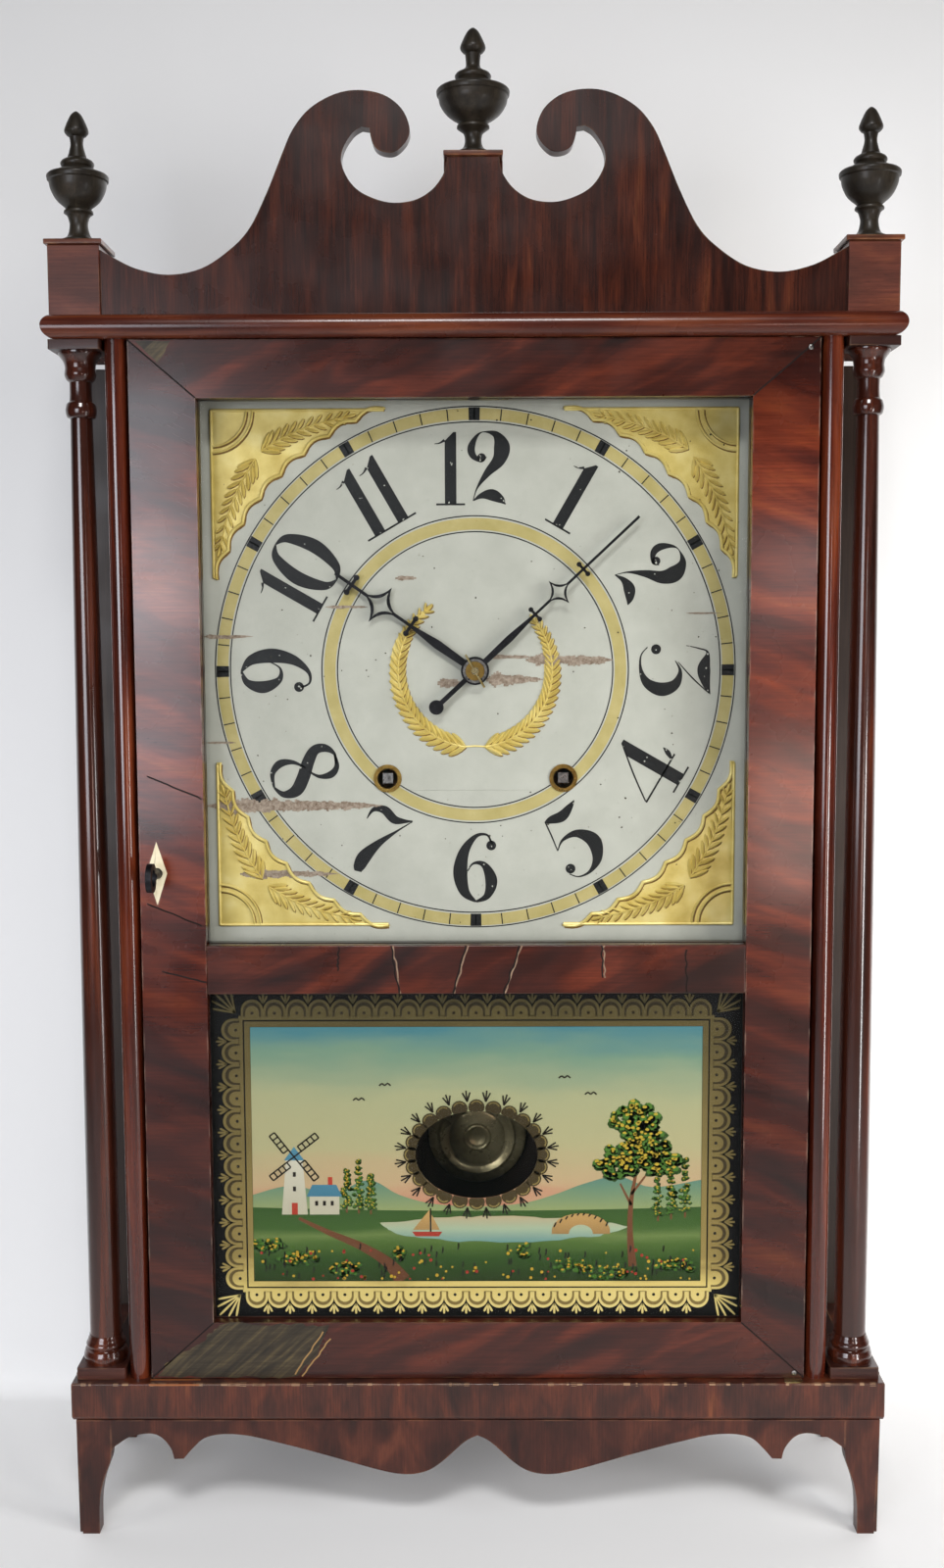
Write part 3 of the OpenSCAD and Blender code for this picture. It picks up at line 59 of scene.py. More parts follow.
def rgb(code):
    """Linear colour of a hex code, as a shader socket takes it."""
    parts = [int(code[i:i + 2], 16) / 255 for i in (1, 3, 5)]
    return [*(c / 12.92 if c <= 0.04045 else ((c + 0.055) / 1.055) ** 2.4 for c in parts), 1.0]


def add(tree, kind, inputs=None, stops=None, **settings):
    """Adds one shader node with its settings, its inputs as values or links, and a colour ramp's stops."""
    made = tree.nodes.new("ShaderNode" + kind)
    for key, value in settings.items():
        setattr(made, key, value)
    for key, value in (inputs or {}).items():
        if isinstance(value, bpy.types.NodeSocket):
            tree.links.new(value, made.inputs[key])
        else:
            made.inputs[key].default_value = value
    for i, (at, colour) in enumerate(stops or []):
        stop = made.color_ramp.elements[i] if i < 2 else made.color_ramp.elements.new(at)
        stop.position = at
        stop.color = rgb(colour)
    return made


def blank(name):
    """A new material with an empty node tree."""
    made = bpy.data.materials.new(name)
    made.use_nodes = True
    made.node_tree.nodes.clear()
    return made


def shade(material, **inputs):
    """Ends a material's tree with one principled surface; input names are written with underscores."""
    tree = material.node_tree
    surface = add(tree, "BsdfPrincipled", {key.replace("_", " "): value for key, value in inputs.items()})
    add(tree, "OutputMaterial", {"Surface": surface.outputs[0]})
    return material


def solid(name, verts, faces, material, body, slot, smooth=False):
    """A mesh piece in the part's frame, given in mm, that rides on a body and takes a material; slot is not
    used.
    """
    mesh = bpy.data.meshes.new(name)
    mesh.from_pydata([Vector(v) * 0.001 for v in verts], [], faces)
    mesh.shade_smooth() if smooth else mesh.shade_flat()
    mesh.materials.append(material)
    made = bpy.data.objects.new(name, mesh)
    bpy.context.scene.collection.objects.link(made)
    if body:
        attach(made, body)
    return made


def ladder(count):
    """Faces of a strip of quads whose points run in pairs."""
    return [(2 * i, 2 * i + 1, 2 * i + 3, 2 * i + 2) for i in range(count)]


# Matt paper scatters evenly and hardly shines; its back lets the view through.
paper = blank("matt_white_paper")
tree = paper.node_tree
face = add(tree, "BsdfPrincipled",
           {"Base Color": rgb("#f2f2f2"), "Roughness": 0.9, "Specular IOR Level": 0.1}).outputs[0]
behind = add(tree, "NewGeometry").outputs["Backfacing"]
one_sided = add(tree, "MixShader", {0: behind, 1: face, 2: add(tree, "BsdfTransparent").outputs[0]}).outputs[0]
add(tree, "OutputMaterial", {"Surface": one_sided})
COVE_R, WALL_Y, WALL_TOP = 14.0, 117.0, 3000.0
SHEET_FRONT, SHEET_HALF = -3600.0, 3000.0
quarter_turn = [math.radians(9 * i) for i in range(11)]
section = [(SHEET_FRONT, 0.0)]
section += [(WALL_Y - COVE_R + COVE_R * math.sin(a), COVE_R - COVE_R * math.cos(a)) for a in quarter_turn]
section += [(WALL_Y, WALL_TOP)]
sheet = solid("studio_sheet", [(x, y, z) for y, z in section for x in (-SHEET_HALF, SHEET_HALF)],
              ladder(len(section) - 1), paper, None, None, True)
sheet.visible_shadow = False
unlit_sheet = bpy.data.collections.new("not_lit_from_behind")
unlit_sheet.objects.link(sheet)
unlit_sheet.collection_objects[0].light_linking.link_state = "EXCLUDE"


def lamp(name, at, aim, size, power, spread, tint="#ffffff"):
    """One soft area lamp in metres, aimed at a point, its beam spread in degrees."""
    light = bpy.data.lights.new(name, "AREA")
    light.shape = "RECTANGLE"
    light.size, light.size_y = size
    light.energy = power
    light.spread = math.radians(spread)
    light.color = rgb(tint)[:3]
    made = bpy.data.objects.new(name, light)
    made.location = at
    made.rotation_euler = (Vector(aim) - Vector(at)).to_track_quat("-Z", "Y").to_euler()
    bpy.context.scene.collection.objects.link(made)
    return made


lamp("left_softbox", (-0.67, -1.36, 0.5), (-0.18, 0.0, 0.28), (0.6, 0.62), 1.8, 80, "#f3f6ff")
lamp("high_key", (0.0, -1.4, 1.6), (0.0, -0.1, 0.15), (0.5, 0.3), 3.1, 80)
for side, name in ((-1, "left_bob_lamp"), (1, "right_bob_lamp")):
    lamp(name, (side * 0.46, -1.6, 0.55), (0.0, 0.04, 0.18), (0.14, 0.14), 0.035, 34)
# These three light the case but don't show in its polish.
unseen = [lamp("right_softbox", (0.98, -1.2, 0.56), (0.26, 0.0, 0.28), (0.5, 0.66), 1.9, 80, "#fff9f2"),
          lamp("right_reflector", (0.82, -0.5, 0.45), (0.2, 0.05, 0.3), (0.3, 0.7), 1.5, 80),
          lamp("left_reflector", (-0.9, -0.42, 0.45), (-0.25, 0.05, 0.3), (0.3, 0.7), 0.5, 100)]
for soft in unseen:
    soft.visible_glossy = False
# These two show only in the polish: along the right pillar and bead, and low on the right stile.
strip = lamp("right_strip", (0.56, -0.66, 0.2), (0.19, -0.02, 0.27), (0.06, 0.4), 0.4, 80)
card = lamp("right_low_card", (0.42, -1.3, 0.235), (0.17, -0.04, 0.39), (0.13, 0.2), 0.15, 80, "#ffdccf")
for sheen in (strip, card):
    sheen.visible_diffuse = False
    sheen.visible_camera = False
back = lamp("back_lamp", (0.5, 1.5, 0.9), (0.0, 0.0, 0.35), (0.8, 0.8), 4.0, 120)
back.light_linking.receiver_collection = unlit_sheet
sky = bpy.data.worlds.new("studio_fill")
sky.use_nodes = True
sky.node_tree.nodes["Background"].inputs["Color"].default_value = rgb("#e9ecf2")
sky.node_tree.nodes["Background"].inputs["Strength"].default_value = 0.04
bpy.context.scene.world = sky
bpy.context.scene.view_settings.view_transform = "Standard"

# Camera at the photo's place: straight in front, a little above the middle and looking slightly down.
# Its lens, place and angles are those that bring the frame's corners onto the photo's.
CAMERA_AT = (0.0037, -0.880, 0.4906)
LENS_MM, FILM_MM = 37.21, 36.0
lens = bpy.data.cameras.new("photo_camera")
lens.sensor_fit = "VERTICAL"
lens.sensor_height = FILM_MM
lens.lens = LENS_MM
pitch, roll, yaw = (math.radians(a) for a in (5.666, -0.211, -0.369))
across = Vector((math.cos(yaw), -math.sin(yaw), 0.0))
ahead = Vector((math.sin(yaw), math.cos(yaw), 0.0))
look = math.cos(pitch) * ahead - math.sin(pitch) * Vector((0, 0, 1))
lift = math.sin(pitch) * ahead + math.cos(pitch) * Vector((0, 0, 1))
right = math.cos(roll) * across + math.sin(roll) * lift
up = math.cos(roll) * lift - math.sin(roll) * across
camera = bpy.data.objects.new("photo_camera", lens)
camera.matrix_world = Matrix.Translation(CAMERA_AT) @ Matrix((right, up, -look)).transposed().to_4x4()
bpy.context.scene.collection.objects.link(camera)
bpy.context.scene.camera = camera

# Base: front and side rails, floor board, scalloped apron, bracket feet and side skirts.
# Mahogany veneer on pine, its upper arris rubbed pale and chipped, with one long split at the left.


def wood(name, stops, along, flame, gloss, depth=0.25, rub=0.0, rub_tint="#8a6a4c", coat=0.3, tilt=0.0,
         ends=None):
    """Polished wood: soft flame bands in mm across and along, fine grain, short pores and rubbed arrises.

    Grain runs along one axis and is tilted in the front view by degrees. Fibres and pores are drawn
    coarser than real ones so that they show. Ends are two heights and the tones between them.
    """
    made = blank(name)
    tree = made.node_tree
    place = add(tree, "TexCoord").outputs["Object"]

    def grain(width, length, detail, twist=0.0, turn=0.0):
        scale = [1000.0 / width] * 3
        scale[along] = 1000.0 / length
        angles = (0.0, math.radians(turn), 0.0)
        tilted = add(tree, "Mapping", {"Vector": place, "Rotation": angles}).outputs[0]
        stretched = add(tree, "Mapping", {"Vector": tilted, "Scale": scale}).outputs[0]
        return add(tree, "TexNoise",
                   {"Vector": stretched, "Scale": 1.0, "Detail": detail, "Distortion": twist}).outputs[0]

    figure = grain(flame[0], flame[1], 3.0, 0.5, tilt)
    fibre = grain(0.9, 26.0, 4.0)
    pores = add(tree, "ValToRGB", {"Fac": grain(0.5, 4.5, 1.0)},
                [(0.6, "#ffffff"), (0.72, "#5a4a46")]).outputs[0]
    body = add(tree, "ValToRGB", {"Fac": figure}, stops).outputs[0]
    lines = add(tree, "ValToRGB", {"Fac": fibre}, [(0.34, "#9a8e8a"), (0.66, "#ffffff")]).outputs[0]
    lined = add(tree, "MixRGB", {"Fac": depth * 2.0, "Color1": body, "Color2": lines},
                blend_type="MULTIPLY").outputs[0]
    tint = add(tree, "MixRGB", {"Fac": depth, "Color1": lined, "Color2": pores},
               blend_type="MULTIPLY").outputs[0]
    if ends:
        # Ends paint shade: the tone is darkened by height between the two heights.
        height = add(tree, "SeparateXYZ", {0: place}).outputs[2]
        share = add(tree, "MapRange",
                    {"Value": height, "From Min": ends[0] * 0.001, "From Max": ends[1] * 0.001}).outputs[0]
        painted_shade = add(tree, "ValToRGB", {"Fac": share}, ends[2]).outputs[0]
        tint = add(tree, "MixRGB", {"Fac": 1.0, "Color1": tint, "Color2": painted_shade},
                   blend_type="MULTIPLY").outputs[0]
    haze = add(tree, "TexNoise", {"Vector": place, "Scale": 1000.0 / 34.0, "Detail": 4.0}).outputs[0]
    rough = add(tree, "MapRange", {"Value": haze, "From Min": 0.3, "From Max": 0.7, "To Min": gloss - 0.05,
                                   "To Max": gloss + 0.07}).outputs[0]
    if rub:
        round_normal = add(tree, "Bevel", {"Radius": 0.0014}, samples=4).outputs[0]
        flat_normal = add(tree, "NewGeometry").outputs["Normal"]
        turn = add(tree, "VectorMath", {0: round_normal, 1: flat_normal},
                   operation="DOT_PRODUCT").outputs["Value"]
        patchy = add(tree, "TexNoise", {"Vector": place, "Scale": 1000.0 / 14.0, "Detail": 6.0}).outputs[0]
        edge = add(tree, "MapRange", {"Value": turn, "From Min": 0.99, "From Max": 0.88, "To Min": 0.0,
                                      "To Max": rub}).outputs[0]
        torn = add(tree, "MapRange", {"Value": patchy, "From Min": 0.46, "From Max": 0.62}).outputs[0]
        worn = add(tree, "Math", {0: edge, 1: torn}, operation="MULTIPLY").outputs[0]
        tint = add(tree, "MixRGB", {"Fac": worn, "Color1": tint, "Color2": rgb(rub_tint)}).outputs[0]
    bump = add(tree, "Bump", {"Height": fibre, "Strength": 0.03, "Distance": 0.0003}).outputs[0]
    return shade(made, Base_Color=tint, Roughness=rough, Normal=bump, Specular_IOR_Level=0.38, Coat_Weight=coat,
                 Coat_Roughness=0.12)


def joined(parts):
    """Several vertex and face lists as one."""
    verts, faces = [], []
    for v, f in parts:
        faces += [tuple(i + len(verts) for i in face) for face in f]
        verts += v
    return verts, faces


def dress(name, material, edge=0.0):
    """Gives a CAD node its finish; edge is the width in mm of its rounded arrises."""
    piece = nodes[name]
    piece.data.materials.clear()
    piece.data.materials.append(material)
    if edge:
        if "custom_normal" in piece.data.attributes:
            piece.data.attributes.remove(piece.data.attributes["custom_normal"])
        piece.data.shade_smooth()
        piece.modifiers.new("joined", "WELD").merge_threshold = 0.00002
        soft = piece.modifiers.new("arris", "BEVEL")
        soft.width = edge * 0.001
        soft.segments = 3
        soft.angle_limit = math.radians(38)
        soft.use_clamp_overlap = True
        piece.modifiers.new("flats", "WEIGHTED_NORMAL").keep_sharp = False
    return piece


ACROSS, INWARD, UPWARD = 0, 1, 2
# French-polished mahogany glows red-brown in soft bands under a clear shine; bare pine is pale and matt.
VENEER = [(0.3, "#2e110a"), (0.5, "#521f12"), (0.7, "#79381d")]
upright_veneer = wood("mahogany_veneer_upright", VENEER, UPWARD, (14.0, 130.0), 0.3, rub=0.3)
base_veneer = wood("mahogany_veneer_mottled",
                   [(0.3, "#2b130c"), (0.46, "#431f14"), (0.62, "#5c2b19"), (0.8, "#7a4223")],
                   UPWARD, (13.0, 36.0), 0.38, depth=0.32, rub=1.0, rub_tint="#b08d6c")
dark_veneer = wood("dark_polished_mahogany", [(0.3, "#160b09"), (0.55, "#2a1510"), (0.8, "#402118")],
                   ACROSS, (16.0, 80.0), 0.3, rub=0.3, rub_tint="#6d4a36")
pine = wood("old_bare_pine", [(0.3, "#7a5a3a"), (0.55, "#96724a"), (0.8, "#b18d60")],
            UPWARD, (13.0, 260.0), 0.75, coat=0.0)
dress("base_rails", base_veneer, 0.9)
dress("case_floor", dark_veneer, 0.4)
apron_veneer = wood("red_brown_apron_mahogany",
                    [(0.3, "#25100b"), (0.5, "#3f1c13"), (0.68, "#572b1c"), (0.84, "#6d3a25")],
                    UPWARD, (14.0, 34.0), 0.4, rub=0.5, rub_tint="#8a5f44", coat=0.1)
for name in ("apron", "front_feet", "side_skirts"):
    dress(name, apron_veneer, 0.7)
# Broken wood has no polish left: flat, pale where old and orange where fresh.
chipped = shade(blank("chipped_pale_wood"), Base_Color=rgb("#8f7156"), Roughness=0.7)
split_out = shade(blank("bare_orange_wood"), Base_Color=rgb("#8f5429"), Roughness=0.7)
low, high = (v * 1000 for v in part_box("base_rails"))
# Each chip is its left end, its length, its fall down the face and its reach back on the ledge, in mm.
random.seed(5)
chips = [(random.uniform(-214, 210), random.uniform(0.8, 3.6), random.uniform(0.9, 1.4),
          random.uniform(0.9, 1.6)) for _ in range(34)]
chips += [(random.uniform(-205, -95), random.uniform(1.5, 6.0), 1.1, 1.2) for _ in range(12)]
SPLIT = (-176.0, 27.0, 1.0, 5.4)
PROUD = 0.06


def chip(x, length, fall, back):
    """Bare wood over the base's rounded front arris: down the face, across and back on the ledge."""
    rows = [(low.y - PROUD, high.z - fall), (low.y + 0.2, high.z - 0.2), (low.y + back, high.z + PROUD)]
    verts = [(x + k * length, y, z) for y, z in rows for k in (0, 1)]
    return verts, [(0, 1, 3, 2), (2, 3, 5, 4)]


solid("base_edge_chips", *joined([chip(*c) for c in chips]), chipped, "case", "mahogany")
solid("base_edge_split", *chip(*SPLIT), split_out, "case", "mahogany")

# Carcase: two sides, top board, backboard and the half-round beads beside the door.
# Sides and beads are polished veneer, the top board is bare old pine and the back is stained dark.
dress("case_sides", upright_veneer, 0.6)
# Thick polish on the beads is nearly a mirror and draws one long bright line.
bead_wood = wood("glossy_bead_mahogany", VENEER, UPWARD, (9.0, 150.0), 0.17, coat=0.9)
dress("front_beads", bead_wood)
dress("case_top", pine, 0.4)
# Stain without polish leaves the back dark and dull.
stained = wood("dark_stained_pine", [(0.3, "#231a16"), (0.6, "#34271f"), (0.85, "#4a3a2c")],
               UPWARD, (13.0, 260.0), 0.42, coat=0.0)
dress("backboard", stained, 0.8)

# Pillars: two turned shafts with ring mouldings, standing on square plinths under square blocks.
# Nearly black polished mahogany, turned here as smooth lathe work on the frame's own outline.


def ease(points, steps=6):
    """A smooth run through a list of points, ends kept."""
    run = []
    for i in range(len(points) - 1):
        p = [Vector(points[min(max(k, 0), len(points) - 1)]) for k in (i - 1, i, i + 1, i + 2)]
        for k in range(steps):
            t = k / steps
            run.append(0.5 * (2 * p[1] + (p[2] - p[0]) * t + (2 * p[0] - 5 * p[1] + 4 * p[2] - p[3]) * t * t
                              + (3 * p[1] - p[0] - 3 * p[2] + p[3]) * t ** 3))
    return run + [Vector(points[-1])]


def turned(profile, at, around=72):
    """Vertices and faces of a lathe piece about an upright axis; the profile runs up as radius and height."""
    verts, faces = [], []
    for r, z in profile:
        for k in range(around):
            a = 2 * math.pi * k / around
            verts.append((at[0] + max(r, 0.01) * math.cos(a), at[1] + max(r, 0.01) * math.sin(a), at[2] + z))
    for i in range(len(profile) - 1):
        for k in range(around):
            n = (k + 1) % around
            faces.append((i * around + k, i * around + n, (i + 1) * around + n, (i + 1) * around + k))
    faces += [tuple(reversed(range(around))), tuple(range((len(profile) - 1) * around, len(profile) * around))]
    return verts, faces


def crisp(piece, angle=35):
    """Keeps arrises sharper than an angle while the rest shades smoothly."""
    piece.data.set_sharp_from_angle(angle=math.radians(angle))
    return piece


pillar_wood = wood("ebony_dark_polished_mahogany", [(0.3, "#20100b"), (0.55, "#3f1c12"), (0.8, "#6b321c")],
                   UPWARD, (9.0, 150.0), 0.2, coat=0.75)
low, high = (v * 1000 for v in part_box("pillars"))
height = high.z - low.z
# Radii of the foot's torus, the shaft at its widest, the neck and the neck's ring
torus, shaft, neck, ring = 12.0, 8.5, 5.65, 8.0
pillar = [Vector((0.0, 0.0)), Vector((torus - 0.4, 0.0))]
pillar += ease([(torus - 0.4, 0.8), (torus, 3.4), (torus - 0.9, 6.4)])
pillar += ease([(torus - 2.1, 7.2), (torus - 1.4, 9.4), (torus - 2.4, 11.6)])
pillar += ease([(shaft + 1, 12.4), (shaft + 0.2, 14.6), (shaft, 18), (shaft - 0.114, height * 0.22),
                (shaft - 0.8, height * 0.5), (shaft - 1.94, height * 0.78), (neck, height - 33.4)])
pillar += ease([(ring - 2.2, height - 33.4), (ring - 0.7, height - 32.4), (ring, height - 29),
                (ring - 0.7, height - 25.8)])
pillar += ease([(neck + 0.3, height - 24.6), (neck, height - 21), (neck, height - 15)])
pillar += ease([(ring - 1, height - 14), (ring, height - 11.4), (ring - 0.2, height - 8.6)])
pillar += ease([(torus - 4.3, height - 8), (torus - 3.7, height - 5), (torus - 1.4, height - 1.6),
                (torus - 1, height)])
pillar.append(Vector((0.0, height)))
mid_y = (low.y + high.y) / 2
spread = high.x - torus
shafts = crisp(solid("turned_pillars", *joined([turned(pillar, (s * spread, mid_y, low.z)) for s in (-1, 1)]),
                     pillar_wood, "case", "dark_mahogany", True))
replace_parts(shafts, "pillars")
pillar_block_wood = wood("red_black_mahogany", [(0.3, "#2a130e"), (0.55, "#44221a"), (0.8, "#5f3325")],
                         ACROSS, (16.0, 80.0), 0.4, rub=0.5, coat=0.1)
dress("pillar_blocks", pillar_block_wood, 0.8)

# Cornice and pediment: bullnose board, sawn scroll board, plinth blocks and their thin caps.
# The scroll board keeps upright grain with red streaks; block fronts and cap edges are rubbed to the bare wood.
scroll_wood = wood("scroll_board_mahogany",
                   [(0.3, "#270f09"), (0.5, "#3b190f"), (0.66, "#512414"), (0.82, "#69371e")],
                   UPWARD, (6.0, 60.0), 0.27, depth=0.36, rub=0.4, coat=0.12)
block_wood = wood("red_brown_mahogany", [(0.3, "#44231a"), (0.55, "#613124"), (0.8, "#84492f")],
                  ACROSS, (18.0, 50.0), 0.4, rub=0.5)
cap_wood = wood("rubbed_cap_mahogany", [(0.3, "#3c2013"), (0.5, "#653420"), (0.75, "#8f5230")],
                ACROSS, (8.0, 40.0), 0.36, rub=0.8, rub_tint="#b98455")
cornice_wood = wood("glossy_red_mahogany", [(0.3, "#3a170f"), (0.5, "#552518"), (0.75, "#763c22")],
                    ACROSS, (7.0, 90.0), 0.24)
dress("cornice", cornice_wood)
dress("scroll_pediment", scroll_wood, 0.5)
dress("plinth_blocks", block_wood, 0.6)
dress("plinth_caps", cap_wood, 0.5)

# Finials: three turned urns, stained nearly black and waxed, dowelled into the caps.
# Turned here as smooth lathe work; the middle one is wider and shorter in the neck.


def urn(across, up_to):
    """Outline of one finial.

    Across gives the diameters of foot, stem, collar, bowl, lid, neck and tip; up_to gives the heights of
    waist, collar, brim, lid, neck, tip and top.
    """
    foot, stem, collar, bowl, lid, neck, tip = (v / 2 for v in across)
    waist, collar_z, brim_z, lid_z, neck_z, tip_z, top = up_to
    run = [Vector((0, 0)), Vector((foot, 0)), Vector((foot, 0.8))]
    run += ease([(foot - 0.6, 2), (stem + 1.4, 4.2), (stem, waist), (stem + 0.5, collar_z - 3.6),
                 (collar - 1.4, collar_z - 1.6)])
    run += ease([(collar, collar_z - 0.6), (collar - 0.2, collar_z + 0.6), (collar - 1.4, collar_z + 1.3)])
    run += ease([(collar - 0.4, collar_z + 2.4), (bowl * 0.72, collar_z + 6.2), (bowl - 1.8, brim_z - 6.5),
                 (bowl - 1, brim_z - 2.6)])
    run += ease([(bowl - 0.2, brim_z - 2), (bowl, brim_z), (bowl - 1, brim_z + 1.1)])
    run += ease([(lid + 2, brim_z + 2.6), (lid - 1, lid_z - 2.4)])
    run += ease([(lid - 0.2, lid_z - 1.6), (lid, lid_z - 0.4), (lid - 0.8, lid_z + 0.8)])
    run += ease([(neck + 1.6, lid_z + 2.4), (neck, neck_z), (neck + 0.4, tip_z - 3.6)])
    return run + ease([(tip - 1.2, tip_z - 2.8), (tip, tip_z - 1), (tip - 0.6, tip_z + 1.6),
                       (tip * 0.5, top - 2.6), (tip * 0.2, top - 0.6), (0, top)])


# Wax over black stain leaves a soft grey sheen with no mirror in it.
ebony = wood("ebonised_wood_waxed", [(0.3, "#211c16"), (0.55, "#302a21"), (0.85, "#453b30")],
             UPWARD, (7.0, 30.0), 0.42, coat=0.1)
FINIAL_Y = -24.75
SIDE_BOWL, MIDDLE_TALL = 31.3, 63.8
side_urn = urn([20.6, 9.3, 14.9, SIDE_BOWL, 17, 6.5, 12.2], [9.4, 16.4, 34, 41, 49.5, 57.2, 66.6])
middle_urn = urn([20.5, 8.6, 16.7, 37.3, 18.5, 7.2, 12.9], [7.5, 15, 32.4, 40.4, 45, 54.4, MIDDLE_TALL])
low, high = (v * 1000 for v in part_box("finials"))
side_x = high.x - SIDE_BOWL / 2
urns = joined([turned(side_urn, (-side_x, FINIAL_Y, low.z)), turned(side_urn, (side_x, FINIAL_Y, low.z)),
               turned(middle_urn, (0.0, FINIAL_Y, high.z - MIDDLE_TALL))])
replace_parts(crisp(solid("turned_finials", *urns, ebony, "case", "ebonised_wood", True)), "finials")

# Movement: oak plates, cherry and laurel wheels, brass pinion and rod, iron wire work and cast iron weights.
# The frame's own pieces are kept; arbor tips in front of the dial are steel and the taper pin is brass wire.
# Oiled and bare woods are matt, with their own plain colour and a straight grain.
oak = wood("quartered_oak", [(0.3, "#6d4c2c"), (0.55, "#86623b"), (0.8, "#a17c4e")],
           UPWARD, (7.0, 120.0), 0.6, coat=0.0)
cherry = wood("oiled_cherry", [(0.3, "#6b3d22"), (0.55, "#84502d"), (0.8, "#9d683f")],
              UPWARD, (9.0, 90.0), 0.5, coat=0.1)
laurel = wood("pale_laurel", [(0.3, "#8a6d48"), (0.55, "#a68a60"), (0.8, "#bfa67c")],
              INWARD, (6.0, 60.0), 0.5, coat=0.0)


def metal(name, dark, light, rough, patch=9.0, sheen=1.0):
    """Old metal: two tones of tarnish in patches of a size in mm, duller where it is darker."""
    made = blank(name)
    tree = made.node_tree
    place = add(tree, "TexCoord").outputs["Object"]
    spots = add(tree, "TexNoise",
                {"Vector": place, "Scale": 1000.0 / patch, "Detail": 5.0, "Roughness": 0.6}).outputs[0]
    tint = add(tree, "ValToRGB", {"Fac": spots}, [(0.35, dark), (0.65, light)]).outputs[0]
    dull = add(tree, "MapRange", {"Value": spots, "From Min": 0.3, "From Max": 0.7, "To Min": rough + 0.12,
                                  "To Max": rough - 0.06}).outputs[0]
    return shade(made, Base_Color=tint, Metallic=sheen, Roughness=dull)


# Brass shines warm under brown patches, forged iron is blue-black, cast iron grainy and dull.
brass = metal("aged_brass", "#7d6130", "#c4a257", 0.3)
dull_brass = metal("tarnished_brass", "#9a8e66", "#cbbd8c", 0.26, 14.0, 0.5)
iron = metal("blackened_iron", "#101012", "#26262a", 0.4, 6.0, 0.7)
cast_iron = metal("cast_iron", "#1c1a19", "#3a3432", 0.62, 5.0, 0.6)
wire_brass = metal("bright_brass_wire", "#b9a263", "#efe0ae", 0.26)
steel = metal("worn_steel", "#5d5c5a", "#b5b3ae", 0.3, 3.0)
dress("movement_plates", oak, 0.4)
for material, names in (
        (laurel, ("plate_pillars", "center_wheel", "third_wheel", "escape_wheel", "pin_wheel", "fly",
                  "time_pulley", "strike_pulley")),
        (cherry, ("hour_wheel", "motion_wheel", "time_drum", "time_great_wheel", "strike_drum",
                  "strike_great_wheel")),
        (brass, ("cannon_pinion", "suspension_cock", "pendulum_rod")),
        (iron, ("verge", "hammer"))):
    for name in names:
        dress(name, material)
for name in ("time_weight", "strike_weight"):
    dress(name, cast_iron, 2.0)
# Faces in front of a depth in mm take the tip's metal.
TIPS = (("center_wheel", wire_brass, -18.5), ("time_drum", steel, -8.0), ("strike_drum", steel, -8.0))
for name, tip, front in TIPS:
    nodes[name].data.materials.append(tip)
    for face in nodes[name].data.polygons:
        face.material_index = int(face.center.y * 1000 < front)

# Dial board: pine painted a grey cream, with two gold rings, minute lines and hour blocks.
# Paint is drawn as thin flat pieces on the board, each lifted a little more than the one below it.
DIAL_Z = 465.45
FACE_Y = -15.75


def paint(name, codes, rough=0.5, patch=22.0):
    """Old paint: a ground tone with soft clouding and fine dust specks."""
    made = blank(name)
    tree = made.node_tree
    place = add(tree, "TexCoord").outputs["Object"]
    cloud = add(tree, "TexNoise",
                {"Vector": place, "Scale": 1000.0 / patch, "Detail": 6.0, "Roughness": 0.62}).outputs[0]
    ground = add(tree, "ValToRGB", {"Fac": cloud}, [(0.3, codes[0]), (0.7, codes[1])]).outputs[0]
    dust = add(tree, "TexNoise", {"Vector": place, "Scale": 1000.0 / 2.6, "Detail": 2.0}).outputs[0]
    speck = add(tree, "ValToRGB", {"Fac": dust}, [(0.71, "#000000"), (0.76, "#ffffff")]).outputs[0]
    few = add(tree, "Math", {0: speck, 1: 0.35}, operation="MULTIPLY").outputs[0]
    tint = add(tree, "MixRGB", {"Fac": few, "Color1": ground, "Color2": rgb(codes[2])}).outputs[0]
    return shade(made, Base_Color=tint, Roughness=rough, Specular_IOR_Level=0.35)


def on_dial(points, lift):
    """Points given from the dial's middle, in mm, laid a little in front of the board."""
    return [(x, FACE_Y - lift, DIAL_Z + z) for x, z in points]


HOLES = [Vector((47.0, -57.5)), Vector((-47.0, -57.5))]
HOLE_R = 7.3


def band(r0, r1, a0, a1, steps):
    """Strip of a ring or of a part of it, left open at the winding holes; angles run clockwise from twelve."""
    pts, open_at = [], []
    for i in range(steps + 1):
        a = math.radians(a0 + (a1 - a0) * i / steps)
        way = Vector((math.sin(a), math.cos(a)))
        inner = r0
        for hole in HOLES:
            off = hole.length_squared - way.dot(hole) ** 2
            if way.dot(hole) > 0 and off < HOLE_R ** 2:
                inner = min(max(inner, way.dot(hole) + math.sqrt(HOLE_R ** 2 - off)), r1)
        open_at.append(inner < r1)
        pts += [tuple(way * inner), tuple(way * r1)]
    return pts, [quad for i, quad in enumerate(ladder(steps)) if open_at[i] or open_at[i + 1]]


def flats(shapes, name, lift, material, slot, place=on_dial, body="case"):
    """Flat painted shapes as one piece facing the front; each shape is points and faces."""
    points, faces = joined(shapes)

    def faces_front(face):
        rim = [points[i] for i in face]
        return sum(x0 * z1 - x1 * z0 for (x0, z0), (x1, z1) in zip(rim, rim[1:] + rim[:1])) > 0

    faces = [face if faces_front(face) else tuple(reversed(face)) for face in faces]
    return solid(name, place(points, lift), faces, material, body, slot)


